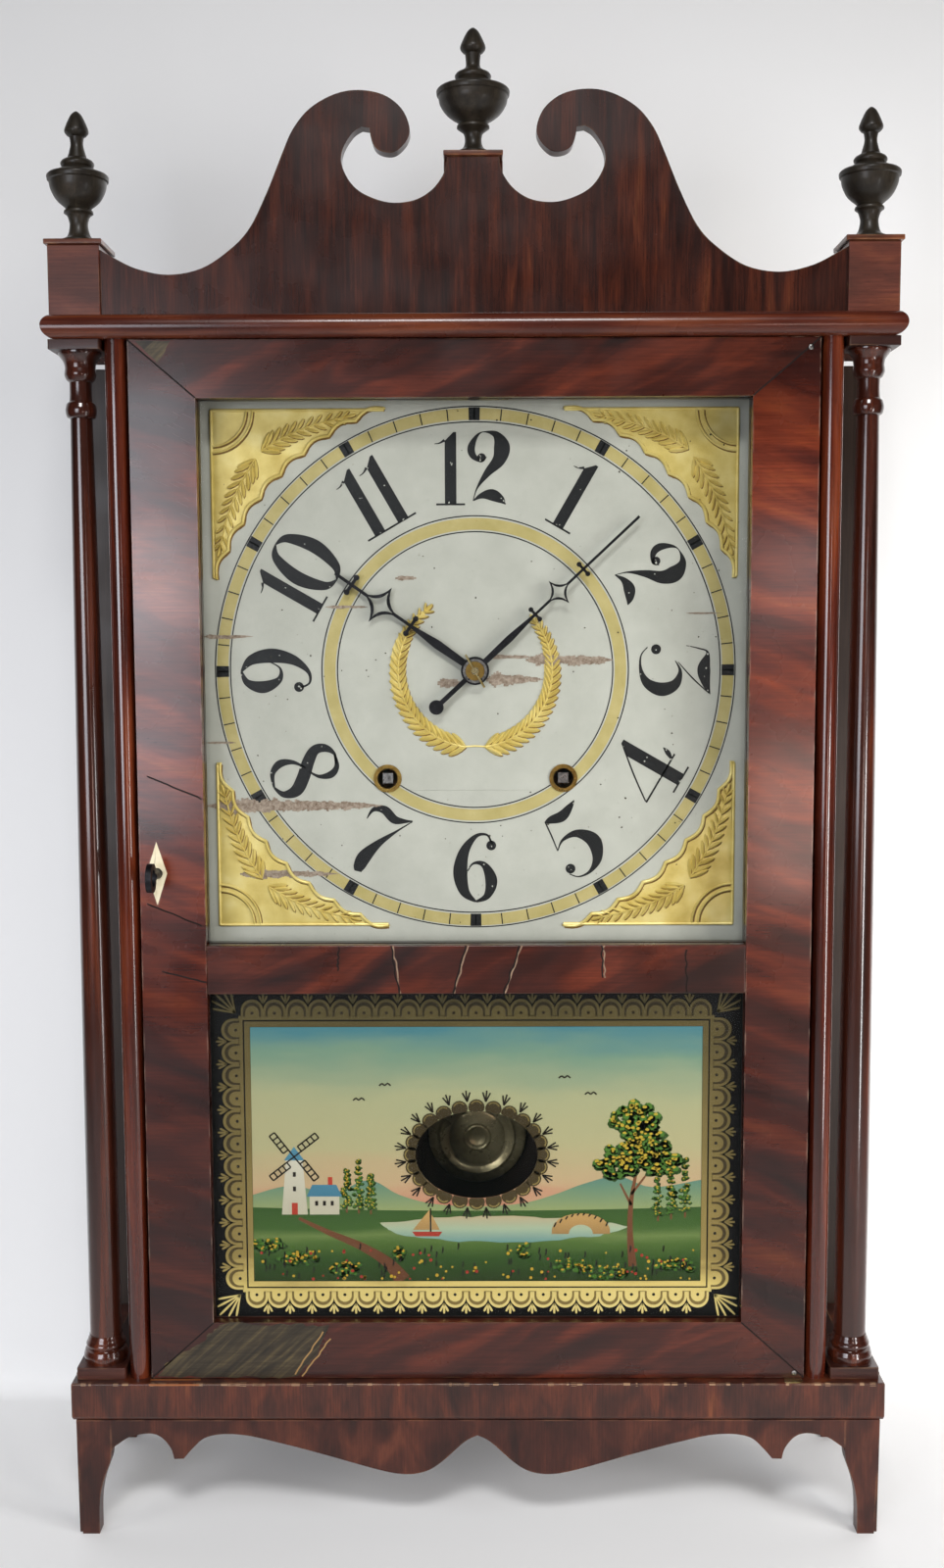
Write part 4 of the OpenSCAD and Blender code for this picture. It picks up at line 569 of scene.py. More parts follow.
# Oil paint gone grey is flat and faintly clouded; gold paint is a dull yellow with no mirror in it.
dial_paint = paint("grey_cream_dial_paint", ("#aeb0a4", "#bcbeb2", "#6f6a5c"))
dress("dial_board", dial_paint, 0.5)
dress("dial_strips", pine, 0.4)
black_paint = paint("black_figure_paint", ("#0d0f10", "#181a1a", "#6f6a60"), 0.45, 9.0)
ring_gilt = paint("thin_gold_paint", ("#a99d5e", "#bdb077", "#8d7b3c"), 0.45, 16.0)
MINUTE_RING, INNER_RING = (131.3, 137.4), (74.2, 80.4)
HOUR_BLOCK = (131.0, 137.7)
FINE_LINES = (138.2, 130.2, 81.5, 73.2)
flats([band(*MINUTE_RING, 0, 360, 240)], "minute_ring_gold", 0.06, ring_gilt, "dial_paint")
flats([band(*INNER_RING, 0, 360, 720)], "inner_ring_gold", 0.06, ring_gilt, "dial_paint")
lines = [band(r - 0.3, r + 0.3, 0, 360, 360) for r in FINE_LINES]
lines += [band(*MINUTE_RING, 6 * i - 0.13, 6 * i + 0.13, 1) for i in range(60)]
lines += [band(*HOUR_BLOCK, 30 * i - 1.25, 30 * i + 1.25, 4) for i in range(12)]
flats(lines, "ring_lines_and_blocks", 0.12, black_paint, "dial_paint")

# Hour figures: plain black numbers drawn with a broad pen, feet to the middle, but outward from four to eight.
# Each figure is pen strokes on a body of 100 units, and every stroke is points of x, y and pen width.


def stroke(points, steps=8):
    """A pen stroke of changing width as a strip of quads; each point is x, y and width."""
    run = ease(points, steps)
    pts = []
    for i, p in enumerate(run):
        way = (run[min(i + 1, len(run) - 1)] - run[max(i - 1, 0)]).to_2d().normalized()
        side = Vector((-way.y, way.x)) * max(p[2], 0.8) / 2
        pts += [(p[0] + side.x, p[1] + side.y), (p[0] - side.x, p[1] - side.y)]
    return pts, ladder(len(run) - 1)


def dot(x, y, r, sides=16):
    """A round dot as one polygon."""
    turns = [math.tau * i / sides for i in range(sides)]
    return [(x + r * math.cos(a), y + r * math.sin(a)) for a in turns], [tuple(range(sides))]


def patch(*points):
    """One polygon."""
    return list(points), [tuple(range(len(points)))]


SIX = [stroke([(45, 84, 3), (38, 97, 3), (22, 95, 6), (6, 74, 14), (0, 44, 20), (6, 16, 14), (22, 1.5, 3)]),
       stroke([(8, 40, 1.5), (18, 56, 3), (34, 54, 9), (44, 32, 17), (38, 10, 10), (22, 1.5, 3)]),
       dot(44, 82, 7)]
FIGURES = {
    "0": [stroke([(22, 99, 2), (6, 88, 12), (-3, 50, 19), (6, 12, 12), (22, 1, 2)]),
          stroke([(22, 99, 2), (38, 88, 12), (47, 50, 19), (38, 12, 12), (22, 1, 2)])],
    "1": [patch((-8, 2), (8, 2), (8, 100), (4, 100), (-8, 88)), patch((-20, 0), (20, 0), (20, 2.6), (-20, 2.6)),
          stroke([(-8, 89, 4), (-15, 85, 2), (-22, 84, 1)])],
    "2": [stroke([(27, 66, 1), (20, 60, 3), (8, 68, 9), (6, 80, 10), (14, 95, 4), (24, 100, 1.5), (40, 96, 10),
                  (48, 80, 22), (44, 62, 18), (28, 44, 10), (14, 24, 2.5), (8, 6, 1)]),
          stroke([(8, 6, 1), (20, 13, 8), (34, 14, 16), (46, 8, 11), (53, 1, 1)]), dot(20, 65, 6)],
    "3": [stroke([(-6, 66, 1), (-2, 84, 2), (4, 96, 4), (26, 91, 18), (46, 94, 12), (62, 100, 1)]),
          stroke([(62, 100, 1.2), (40, 76, 2), (17, 55, 1.2)]),
          stroke([(15, 51, 1), (30, 58, 5), (48, 51, 14), (55, 32, 19), (46, 12, 13), (28, 3, 5), (8, 3, 2),
                  (-4, 12, 1.5)]), dot(-1, 24, 7)],
    "4": [patch((24, 2), (42, 2), (42, 100), (36, 100), (24, 84)),
          patch((12, 0), (54, 0), (54, 2.6), (12, 2.6)), stroke([(36, 99, 2), (6, 62, 2.2), (-18, 29, 2)]),
          patch((-19, 26), (60, 26), (60, 28.6), (-19, 28.6)),
          stroke([(52, 28, 3), (57, 37, 7), (60, 46, 1)])],
    "5": [stroke([(0, 94, 2), (10, 93, 11), (26, 90, 15), (42, 96, 9), (52, 101, 1)]),
          stroke([(1, 94, 2), (-1, 72, 2), (-4, 50, 1.4)]),
          stroke([(-4, 50, 1), (10, 60, 4), (32, 58, 11), (47, 38, 20), (40, 14, 14), (22, 2, 5), (4, 3, 2),
                  (-6, 13, 1.5)]), dot(-1, 19, 7)],
    "6": SIX,
    "7": [stroke([(-4, 72, 1), (-2, 88, 6), (12, 95, 12), (30, 90, 12), (44, 95, 6), (54, 101, 1)]),
          stroke([(54, 100, 1.5), (42, 78, 3), (28, 50, 10), (20, 24, 19), (20, 8, 17), (22, 0, 10)])],
    "8": [stroke([(38, 93, 2), (24, 99, 4), (10, 92, 11), (5, 78, 14), (14, 62, 17), (30, 44, 18), (41, 26, 17),
                  (37, 8, 9), (22, 1, 3)]),
          stroke([(24, 99, 3), (40, 93, 7), (46, 80, 10), (40, 64, 5), (26, 55, 2)]),
          stroke([(20, 54, 2), (4, 42, 6), (-3, 25, 11), (4, 9, 7), (22, 1, 3)])],
    "9": [([(44 - x, 100 - y) for x, y in pts], faces) for pts, faces in SIX],
}
UNIT = 0.38
FIGURE_R = 106
# How far each figure of a number is shifted along the ring, in units
NUMBERS = {"1": [0], "2": [-25], "3": [-28], "4": [-22], "5": [-23], "6": [-22], "7": [-25], "8": [-22],
           "9": [-22], "10": [-33, -8], "11": [-18, 19], "12": [-33, -10]}
drawn = []
for value, shifts in NUMBERS.items():
    turn = math.radians(30 * int(value))
    upright = -1 if 4 <= int(value) <= 8 else 1
    radial = Vector((math.sin(turn), math.cos(turn)))
    rise = radial * upright
    along = Vector((rise.y, -rise.x))
    for figure, shift in zip(value, shifts):
        for pts, faces in FIGURES[figure]:
            set_out = [radial * FIGURE_R + (along * (x + shift) + rise * (y - 50)) * UNIT for x, y in pts]
            drawn.append(([tuple(p) for p in set_out], faces))
flats(drawn, "hour_figures", 0.1, black_paint, "dial_paint")

# Gilding of the dial: a wreath round the hands and four scalloped corners, gold leaf over raised gesso.
# Leaves, stems and rims are modelled one by one; a painted shadow lies down and to the right of each.
# Rubbed gold leaf is a broken soft yellow, brightest on the ridges and pitted where the gesso crumbled.
gold = blank("gold_leaf_on_gesso")
tree = gold.node_tree
place = add(tree, "TexCoord").outputs["Object"]
rubbed = add(tree, "TexNoise", {"Vector": place, "Scale": 1000.0 / 12.0, "Detail": 6.0}).outputs[0]
tone = add(tree, "ValToRGB", {"Fac": rubbed}, [(0.3, "#c7b05c"), (0.5, "#dac673"), (0.7, "#e6d68c")]).outputs[0]
crumb = add(tree, "TexNoise", {"Vector": place, "Scale": 1000.0 / 1.4, "Detail": 3.0}).outputs[0]
pitted = add(tree, "Bump", {"Height": crumb, "Strength": 0.15, "Distance": 0.0004}).outputs[0]
shade(gold, Base_Color=tone, Metallic=0.2, Roughness=0.34, Normal=pitted)


def leaf(at, angle, length, width, swell):
    """One raised leaf on the dial: a ridge from stalk to tip with two sloping halves."""
    way = Vector((math.cos(angle), math.sin(angle)))
    side = Vector((-way.y, way.x))
    verts = []
    for t, w in ((0.0, 0.2), (0.3, 0.8), (0.6, 1.0), (0.88, 0.7), (1.0, 0.1)):
        mid = Vector(at) + way * (length * t)
        for k, out in ((-1, 0.2), (0, 0.2 + swell * (0.4 + 0.6 * w)), (1, 0.2)):
            spot = mid + side * (k * w * width / 2)
            verts.append((spot.x, FACE_Y - out, DIAL_Z + spot.y))
    return verts, [(3 * i + k, 3 * i + k + 1, 3 * i + k + 4, 3 * i + k + 3) for i in range(4) for k in range(2)]


def leaf_shadow(ridge):
    """Painted shadow of a raised leaf: its outline moved a little down and right, laid flat under it."""
    rim = ridge[0][0::3] + ridge[0][2::3][::-1]
    return [(x + 0.35, z - DIAL_Z - 0.45) for x, y, z in rim], [tuple(range(len(rim)))]


def spray(path, pairs, length, width, swell, splay):
    """Leaves in pairs along a stem, smaller at the tip, each splayed forward from it by an angle."""
    run = ease(path, 12)
    made = []
    for i in range(pairs):
        spot = i / (pairs - 1) * (len(run) - 2)
        k = int(spot)
        here = run[k].lerp(run[k + 1], spot - k)
        way = run[k + 1] - run[k]
        heading = math.atan2(way.y, way.x)
        size = 1.0 - 0.5 * i / pairs
        made += [leaf(here, heading + s * splay, length * size, width * size, swell) for s in (-1, 1)]
    end = run[-1] - run[-2]
    return made + [leaf(run[-1], math.atan2(end.y, end.x), length * 0.6, width * 0.8, swell)]


def raised(points, width, height):
    """A half-round raised line along a path on the dial."""
    verts, faces = [], []
    for i, p in enumerate(points):
        way = (Vector(points[min(i + 1, len(points) - 1)]) - Vector(points[max(i - 1, 0)])).normalized()
        side = Vector((-way.y, way.x))
        for k in range(5):
            a = math.pi * k / 4
            spot = Vector(p) + side * (math.cos(a) * width / 2)
            verts.append((spot.x, FACE_Y - 0.05 - height * math.sin(a), DIAL_Z + spot.y))
    for i in range(len(points) - 1):
        faces += [(5 * i + k, 5 * i + k + 1, 5 * i + k + 6, 5 * i + k + 5) for k in range(4)]
    return verts, faces


WREATH_R, WREATH_GAP = 41, 7


def branch(side, end):
    """Middle line of one wreath branch from the gap at the bottom up to its end, in degrees from the bottom."""
    turns = [math.radians(a) for a in range(WREATH_GAP, end, 6)]
    return [(side * WREATH_R * math.sin(a), -WREATH_R * math.cos(a)) for a in turns]


# Painted shadow: a dull brown line down and to the right of each leaf and rim that makes it stand out.
painted_shadow = paint("painted_gilding_shadow", ("#5f4517", "#7d5e26", "#3c2c12"), 0.6, 3.0)
wreath, wreath_bed, stems = [], [], []
for side, end in ((-1, 142), (1, 130)):
    path = branch(side, end)
    wreath += spray(path, pairs=24, length=10.6, width=2.7, swell=1.2, splay=0.62)
    stems.append(raised(ease(path, 4), 1.2, 0.7))
    shares = [i / (len(path) - 1) for i in range(len(path))]
    widths = [8.6 * min(1.0, 0.2 + 6 * t, 0.3 + 3 * (1 - t)) for t in shares]
    wreath_bed.append(stroke([(x, z, w) for (x, z), w in zip(path, widths)], 3))
stems.append(raised([(-6.5, -40.6), (0.0, -40.2), (6.5, -40.6)], 1.0, 0.6))
flats(wreath_bed, "gilt_wreath_bed", 0.14, gold, "dial_paint")
flats([leaf_shadow(ridge) for ridge in wreath], "wreath_leaf_shadows", 0.18, painted_shadow, "dial_paint")
crisp(solid("gilt_wreath", *joined(wreath + stems), gold, "case", "dial_paint", True), 25)

# One corner is drawn at the upper right: its outer point, its reach along both edges, a scalloped inner edge.
CORNER = Vector((138.2, 136.6))
REACH_LEFT, REACH_DOWN = 91.0, 87.0
LOBES, LOBE_STEPS, LOBE_R, LOBE_RISE = 8, 8, 145.2, 2.6
from_angle = math.atan2(CORNER.y, CORNER.x - REACH_LEFT)
to_angle = math.atan2(CORNER.y - REACH_DOWN, CORNER.x)
outline = [Vector((CORNER.x - REACH_LEFT, CORNER.y))]
for i in range(LOBES * LOBE_STEPS + 1):
    a = from_angle + (to_angle - from_angle) * i / (LOBES * LOBE_STEPS)
    swell = LOBE_RISE * abs(math.sin(math.pi * i / LOBE_STEPS))
    outline.append(Vector((math.cos(a), math.sin(a))) * (LOBE_R + swell))
outline.append(Vector((CORNER.x, CORNER.y - REACH_DOWN)))
quarter = [Vector((math.cos(math.radians(5 * i)), math.sin(math.radians(5 * i)))) for i in range(19)]
arcs = [[CORNER - way * r for way in quarter] for r in (18.5, 21.8)]
across_top = [(CORNER.x - u, CORNER.y - v) for u, v in ((26, 21), (38, 14.0), (53, 8.0), (70, 3.8))]
down_side = [(CORNER.x - u, CORNER.y - v) for u, v in ((23, 25), (15.0, 38), (8.5, 53), (3.8, 70))]
SIGNS = ((-1, -1), (-1, 1), (1, -1), (1, 1))
grounds, rims, leaves = [], [], []
for sx, sz in SIGNS:
    flip = Matrix.Diagonal((sx, sz))
    edge = [flip @ p for p in outline]
    outer = flip @ CORNER
    grounds.append(([tuple(p) for p in (outer, *edge)], [(0, i, i + 1) for i in range(1, len(edge))]))
    rims += [raised(edge, 2.0, 1.2), raised([edge[0], outer], 1.8, 1.1), raised([outer, edge[-1]], 1.8, 1.1)]
    rims += [raised([flip @ p for p in arc], 1.3, 1.1) for arc in arcs]
    for path in (across_top, down_side):
        stem = [flip @ Vector(p) for p in path]
        leaves += spray(stem, pairs=11, length=10.6, width=2.5, swell=1.4, splay=0.6)
        rims.append(raised(ease(stem, 6), 1.0, 1.1))
flats(grounds, "gilt_corner_grounds", 0.14, gold, "dial_paint")
# Painted shadows of the corners' raised arcs and scalloped rims, moved a little down and right.
rim_shadows = [stroke([(p.x * sx + 0.5, p.y * sz - 0.6, 1.6) for p in arc[::3]], 4)
              for arc in arcs for sx, sz in SIGNS]
rim_shadows += [stroke([(p.x * sx + 0.5, p.y * sz - 0.7, 2.0) for p in outline[1:-1:2]], 2) for sx, sz in SIGNS]
flats([leaf_shadow(ridge) for ridge in leaves] + rim_shadows, "corner_painted_shadows", 0.18, painted_shadow, "dial_paint")
crisp(solid("gilt_corner_relief", *joined(leaves + rims), gold, "case", "dial_paint", True), 25)

# Wear of the dial: long streaks where paint flaked along the grain, nicks in the figures, dark fly specks.
# Streaks are given as left and right end, height, and thickness at the left with its share at the right.
# Flaked ground is rough and mottled brown and grey, with no shine.
bare = paint("flaked_bare_ground", ("#6d5a4a", "#ada08f", "#3f3329"), 0.8, 1.7)
random.seed(4)
flakes = []
for x0, x1, z, thick, thin in (
        (27, 73, 5.5, 6.8, 0.7), (7, 30, 7.2, 2.4, 0.6), (6, 36, -4.8, 8.4, 0.25), (-20, -8, -6.5, 5.0, 1.0),
        (-144, -50, -72, 9.0, 0.4), (-127, -74, -109, 6.4, 0.3), (-144, -118, 18.5, 3.0, 0.4),
        (-42, -31, 49, 2.6, 0.8), (-79, -57, 34, 2.0, 0.6), (-144, -128, -38, 1.4, 0.8),
        (112, 130, 30, 1.2, 0.7)):
    count = max(int((x1 - x0) / 1.3), 5)
    for i in range(count):
        t = (i + 0.5) / count
        tall = thick * (1 + (thin - 1) * t) * min(1.0, 6 * t + 0.1, 6 * (1 - t) + 0.1)
        up, down = (tall * (0.5 + 0.3 * noise.noise((i * 0.31, z, k))) * random.uniform(0.75, 1.05)
                    for k in (0.0, 7.0))
        a, b = x0 + (x1 - x0) * i / count, x0 + (x1 - x0) * (i + 1) / count
        flakes.append(patch((a, z - down), (b, z - down * random.uniform(0.8, 1.1)),
                            (b, z + up * random.uniform(0.8, 1.1)), (a, z + up)))
flats(flakes, "flaked_streaks", 0.22, bare, "dial_paint")


def blot(x, z, r):
    """A small uneven spot."""
    return patch(*((x + r * random.uniform(0.6, 1.2) * math.cos(math.tau * i / 5),
                    z + r * random.uniform(0.6, 1.2) * math.sin(math.tau * i / 5)) for i in range(5)))


nicks = []
for _ in range(90):
    pts, faces = random.choice(drawn)
    spots = [Vector(pts[i]) for i in random.choice(faces)]
    at = sum(spots, Vector((0.0, 0.0))) / len(spots)
    nicks.append(blot(at.x + random.uniform(-1.2, 1.2), at.y + random.uniform(-1.2, 1.2),
                      random.uniform(0.25, 0.6)))
flats(nicks, "figure_nicks", 0.16, dial_paint, "dial_paint")
fly_specks = paint("dark_fly_specks", ("#2b251c", "#4a4233", "#1a1610"), 0.8, 2.0)
specks = [blot(random.uniform(-140, 140), random.uniform(-138, 138), random.uniform(0.2, 0.6))
          for _ in range(110)]
flats(specks, "dial_specks", 0.2, fly_specks, "dial_paint")

# Hands and winding holes: pierced iron hands blued nearly black, pinned on with a brass collet and a taper pin.
# Brass grommets line the winding holes.
for name in ("minute_hand", "hour_hand"):
    dress(name, iron, 0.12)
dress("hand_collet", brass, 0.15)
dress("winding_grommets", brass)
BOSS_Y = -22.75


def on_hub(points, lift):
    """Points from the arbor's middle, in mm, laid in front of the minute hand's boss."""
    return [(x, BOSS_Y - lift, DIAL_Z + z) for x, z in points]


flats([band(5.1, 6.4, 0, 360, 48)], "bright_hub_line", 0.05, steel, "blackened_iron", on_hub, "minute")

# Pendulum bob and bell: a tarnished brass bob, spun with a flange, a rolled ring, a dish, a disc and a cup.
# It hangs behind the lower glass with its axis to the front; the bell is brass too.


def facing(lathe, at):
    """Turns a lathe piece so that its axis points to the front, at a point in mm."""
    verts, faces = lathe
    return [(at[0] + x, at[1] - z, at[2] + y) for x, y, z in verts], faces


low, high = (v * 1000 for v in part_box("pendulum_bob"))
bob_r = (high.x - low.x) / 2
bob_t = high.y - low.y
bob = [Vector((0, 0.0)), Vector((bob_r - 1.5, 0.0))]
bob += ease([(bob_r - 0.4, 0.6), (bob_r, 2.0), (bob_r - 0.6, 3.2)])
bob += ease([(bob_r - 1.4, 4.0), (bob_r * 0.88, bob_t * 0.62), (bob_r * 0.8, bob_t * 0.74),
             (bob_r * 0.76, bob_t * 0.89)])
# From the ring inward every step is shares of the bob's radius and thickness.
for run in (((0.74, 0.9), (0.7, 0.84), (0.63, 0.75), (0.57, 0.73)),
            ((0.545, 0.79), (0.5, 0.82), (0.38, 0.86), (0.29, 0.88)),
            ((0.27, 0.96), (0.24, 1.0), (0.2, 0.95)),
            ((0.17, 0.86), (0.08, 0.8), (0.0, 0.79))):
    bob += ease([(bob_r * r, bob_t * t) for r, t in run])
middle = (low + high) / 2
spun = facing(turned(bob, (0, 0, 0), 96), (middle.x, high.y, middle.z))
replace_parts(crisp(solid("spun_bob", *spun, dull_brass, "pendulum", "brass", True), 28), "pendulum_bob")
dress("bell", brass)

# Weight cords: three-strand hemp, one from each drum over its pulley down to a weight.
# The run to the pulley and the hanging run are both fixed to the case.
# Hemp is dull and fuzzy, straw brown with darker hollows between its strands.
hemp = blank("twisted_hemp_cord")
tree = hemp.node_tree
place = add(tree, "TexCoord").outputs["Object"]
fuzz = add(tree, "TexNoise", {"Vector": place, "Scale": 1000.0 / 1.2, "Detail": 4.0}).outputs[0]
tone = add(tree, "ValToRGB", {"Fac": fuzz}, [(0.3, "#8d7450"), (0.7, "#c4ad84")]).outputs[0]
shade(hemp, Base_Color=tone, Roughness=0.85, Specular_IOR_Level=0.2)


def rope(path, r, lay=9.0):
    """A three-strand rope along points in mm, one full twist per lay."""
    verts, faces, run = [], [], 0.0
    count = 12
    for i, p in enumerate(path):
        p = Vector(p)
        way = (Vector(path[min(i + 1, len(path) - 1)]) - Vector(path[max(i - 1, 0)])).normalized()
        side = Vector((0, 1, 0))
        lift = way.cross(side).normalized()
        run += (p - Vector(path[i - 1])).length if i else 0.0
        for k in range(count):
            a = 2 * math.pi * k / count
            d = r * (0.86 + 0.14 * math.cos(3 * (a - 2 * math.pi * run / lay)))
            verts.append(p + (side * math.cos(a) + lift * math.sin(a)) * d)
    for i in range(0, (len(path) - 1) * count, count):
        for k in range(count):
            n = (k + 1) % count
            faces.append((i + k, i + count + k, i + count + n, i + n))
    end = range((len(path) - 1) * count, len(path) * count)
    return verts, faces + [tuple(range(count)), tuple(reversed(end))]


# Radius of the cord's middle line on the drum in mm
DRUM_LINE = 20.55
for side, name, joint in ((1, "time", "time_weight_rise"), (-1, "strike", "strike_weight_rise")):
    low, high = (v * 1000 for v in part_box(name + "_cord"))
    mid_y, cord_r = (low.y + high.y) / 2, (high.y - low.y) / 2
    outer = high.x - cord_r if side > 0 else -low.x - cord_r
    wheel, drum = ((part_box(name + part)[0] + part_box(name + part)[1]) * 500 for part in ("_pulley", "_drum"))
    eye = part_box(name + "_weight")[1].z * 1000
    groove = outer - abs(wheel.x)
    axle, hub = Vector((abs(drum.x), drum.z)), Vector((abs(wheel.x), wheel.z))
    reach = hub - axle
    lean = math.atan2(reach.y, reach.x) - math.acos((DRUM_LINE + groove) / reach.length)
    start = axle + DRUM_LINE * Vector((math.cos(lean), math.sin(lean)))
    first = hub - groove * Vector((math.cos(lean), math.sin(lean)))
    touch = lean + math.pi
    over = [touch % math.tau * (1 - i / 24) for i in range(25)]
    steps = [start.lerp(first, i / 120) for i in range(120)]
    steps += [hub + groove * Vector((math.cos(a), math.sin(a))) for a in over]
    climb = rope([(side * p.x, mid_y, p.y) for p in steps], cord_r)
    wound = solid(name + "_cord_wound", *climb, hemp, "case", "hemp_cord", True)
    drop = [(side * outer, mid_y, wheel.z - (wheel.z - eye) * i / 180) for i in range(181)]
    hung = solid(name + "_cord_hung", *rope(drop, cord_r), hemp, "case", "hemp_cord", True)
    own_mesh(hung)
    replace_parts(wound, name + "_cord")

# Door: two stiles and three rails veneered with flame mahogany, hung on wire pins, with a lock at the left.
# Cracks, mitre lines, scratches and bare patches are thin pieces on the face; strips hold the glass behind.
# Flame veneer shines in slanting light and dark bands, duller and greyer where it has worn.
FLAME = [(0.3, "#2f110a"), (0.48, "#521d11"), (0.64, "#742f18"), (0.82, "#954a23")]
# Painted shade on the stiles: the veneer is darkened towards the foot and again at the top, between 86 and 634
# mm up.
STILE_PAINTED_SHADE = (86.0, 634.0, [(0.0, "#9c9492"), (0.34, "#b4aeac"), (0.52, "#ffffff"), (0.9, "#ffffff"),
                            (0.98, "#8c8280")])
stile_veneer = wood("flame_mahogany_crossed", FLAME, ACROSS, (17.0, 90.0), 0.27, rub=0.6, rub_tint="#a58a78",
                    coat=0.38, tilt=-17, ends=STILE_PAINTED_SHADE)
rail_veneer = wood("flame_mahogany_rail", [(0.3, "#240d08"), (0.5, "#40180e"), (0.7, "#652a17")],
                   ACROSS, (16.0, 70.0), 0.3, rub=0.25, tilt=24)
dress("door_stiles", stile_veneer, 0.6)
for name in ("door_top_rail", "door_middle_rail", "door_bottom_rail"):
    dress(name, rail_veneer, 0.6)
dress("glazing_strips", dark_veneer, 0.3)
dress("hinge_pins", iron)
dress("lock_case", brass, 0.3)
dress("lock_bolt", iron, 0.2)
dress("door_key", iron)
# Old bone is a warm white, smooth and faintly waxy.
ivory = paint("old_bone", ("#d9cba6", "#eee5c8", "#a08c5e"), 0.4, 7.0)
dress("escutcheon", ivory, 0.3)
DOOR_Y = -42.75


def on_door(points, lift):
    """Points in the front view, in mm, laid a little in front of the door."""
    return [(x, DOOR_Y - lift, z) for x, z in points]


def marks(shapes, name, lift, material):
    """Thin flat pieces on the door's face."""
    return flats(shapes, name, lift, material, "mahogany", on_door, "door")


# An open crack is black, and its chipped lip shows pale bare wood.
crack_dark = paint("open_crack", ("#0c0705", "#160d09", "#2a1a12"), 0.8, 6.0)
crack_pale = paint("chipped_veneer_edge", ("#6b5443", "#8a735f", "#3a2417"), 0.7, 4.0)
random.seed(11)


def crack(x0, z0, x1, z1, width, bends=9):
    """A jagged split from one point to another."""
    return stroke([(x0 + (x1 - x0) * i / bends + random.uniform(-0.5, 0.5), z0 + (z1 - z0) * i / bends,
                    width * random.uniform(0.4, 1.2)) for i in range(bends + 1)], 3)


RAIL_SPLITS = [(-44.5, 322.3, -40.5, 296.8), (-5.0, 322.3, -12.5, 296.8), (23.0, 322.3, 14.5, 296.8),
               (66.0, 322.3, 66.8, 305.0), (110.0, 320.0, 111.0, 297.0), (-72.0, 322.0, -72.6, 309.0)]
STILE_SPLITS = [(-170, 412, -142, 400, 0.7), (-172, 345, -143, 333, 0.5), (-165, 309, -142, 303, 0.5)]
splits = [crack(*s, 0.9) for s in RAIL_SPLITS] + [crack(*s) for s in STILE_SPLITS]
marks(splits, "veneer_cracks", 0.04, crack_dark)
CHIP_OFF = 0.9
marks([crack(x0 + CHIP_OFF, z0, x1 + CHIP_OFF, z1, 0.42) for x0, z0, x1, z1 in RAIL_SPLITS[:4]],
      "chipped_crack_edges", 0.03, crack_pale)
# Half widths of the door, of its opening and of the inner end of the corner pieces; heights of both corners
DOOR_HALF, OPENING_HALF, PIECE_END = 175.4, 141.6, 138.5
MITRE_ENDS = ((633.9, 605.0), (86.1, 116.9))
PIECE_HEIGHTS = ((633.8, 605.5), (86.2, 116.4))
corner_veneer = [patch((sx * (DOOR_HALF - 0.1), z0), (sx * PIECE_END, z0), (sx * PIECE_END, z1),
                       (sx * OPENING_HALF, z1)) for sx in (-1, 1) for z0, z1 in PIECE_HEIGHTS]
marks(corner_veneer, "mitred_corner_veneer", 0.012, rail_veneer)
# A mitre runs from the door's outer corner to the corner of its opening.
mitres = [(Vector((sx * DOOR_HALF, z0)), Vector((sx * OPENING_HALF, z1)))
          for z0, z1 in MITRE_ENDS for sx in (-1, 1)]
marks([stroke([(*a, 0.35), (*((a + b) / 2), 0.25), (*b, 0.35)], 3) for a, b in mitres],
      "mitre_lines", 0.02, crack_dark)


def ragged(points, rough, seed, bits=7):
    """An outline with torn edges from a coarse closed one."""
    random.seed(seed)
    torn = []
    for p, q in zip(points, points[1:] + points[:1]):
        for k in range(bits):
            torn.append((p[0] + (q[0] - p[0]) * k / bits + random.uniform(-rough, rough),
                         p[1] + (q[1] - p[1]) * k / bits + random.uniform(-rough, rough)))
    return torn, [tuple(range(len(torn)))]


# Where the veneer is lost, the ground is a dull olive brown with coarse slanting grain.
bare_wood = wood("bare_olive_wood", [(0.3, "#231e15"), (0.5, "#383022"), (0.68, "#54482f"), (0.85, "#7d6a41")],
                 ACROSS, (2.6, 26.0), 0.45, coat=0.1, tilt=42)
LOWER_PATCH = [(-172, 87), (-130, 86.6), (-97, 86.6), (-86, 100), (-80, 115), (-100, 116.2), (-138, 116.4),
               (-148, 106), (-166, 96)]
UPPER_PATCH = [(-171.5, 633.2), (-153.5, 633.4), (-160, 622)]
marks([ragged(LOWER_PATCH, 0.9, 3), ragged(UPPER_PATCH, 0.3, 5)], "bare_patches", 0.02, bare_wood)
torn_edge = shade(blank("torn_veneer_edge"), Base_Color=rgb("#8f6f43"), Roughness=0.7)
marks([crack(-98, 88, -83, 112, 0.7), crack(-94, 87, -79, 108, 0.5)], "torn_veneer_edges", 0.03, torn_edge)
# Fine scratches scatter the light, so they show as grey lines in the polish.
scuffed = shade(blank("scratched_polish"), Base_Color=rgb("#665455"), Roughness=0.5)
scratches = [(random.uniform(-172, -148), random.uniform(545, 606), random.uniform(2.5, 7.0))
             for _ in range(26)]
marks([patch((x, z), (x + n, z - 0.5 * n), (x + n, z - 0.5 * n + 0.16), (x, z + 0.22))
       for x, z, n in scratches], "stile_scratches", 0.015, scuffed)

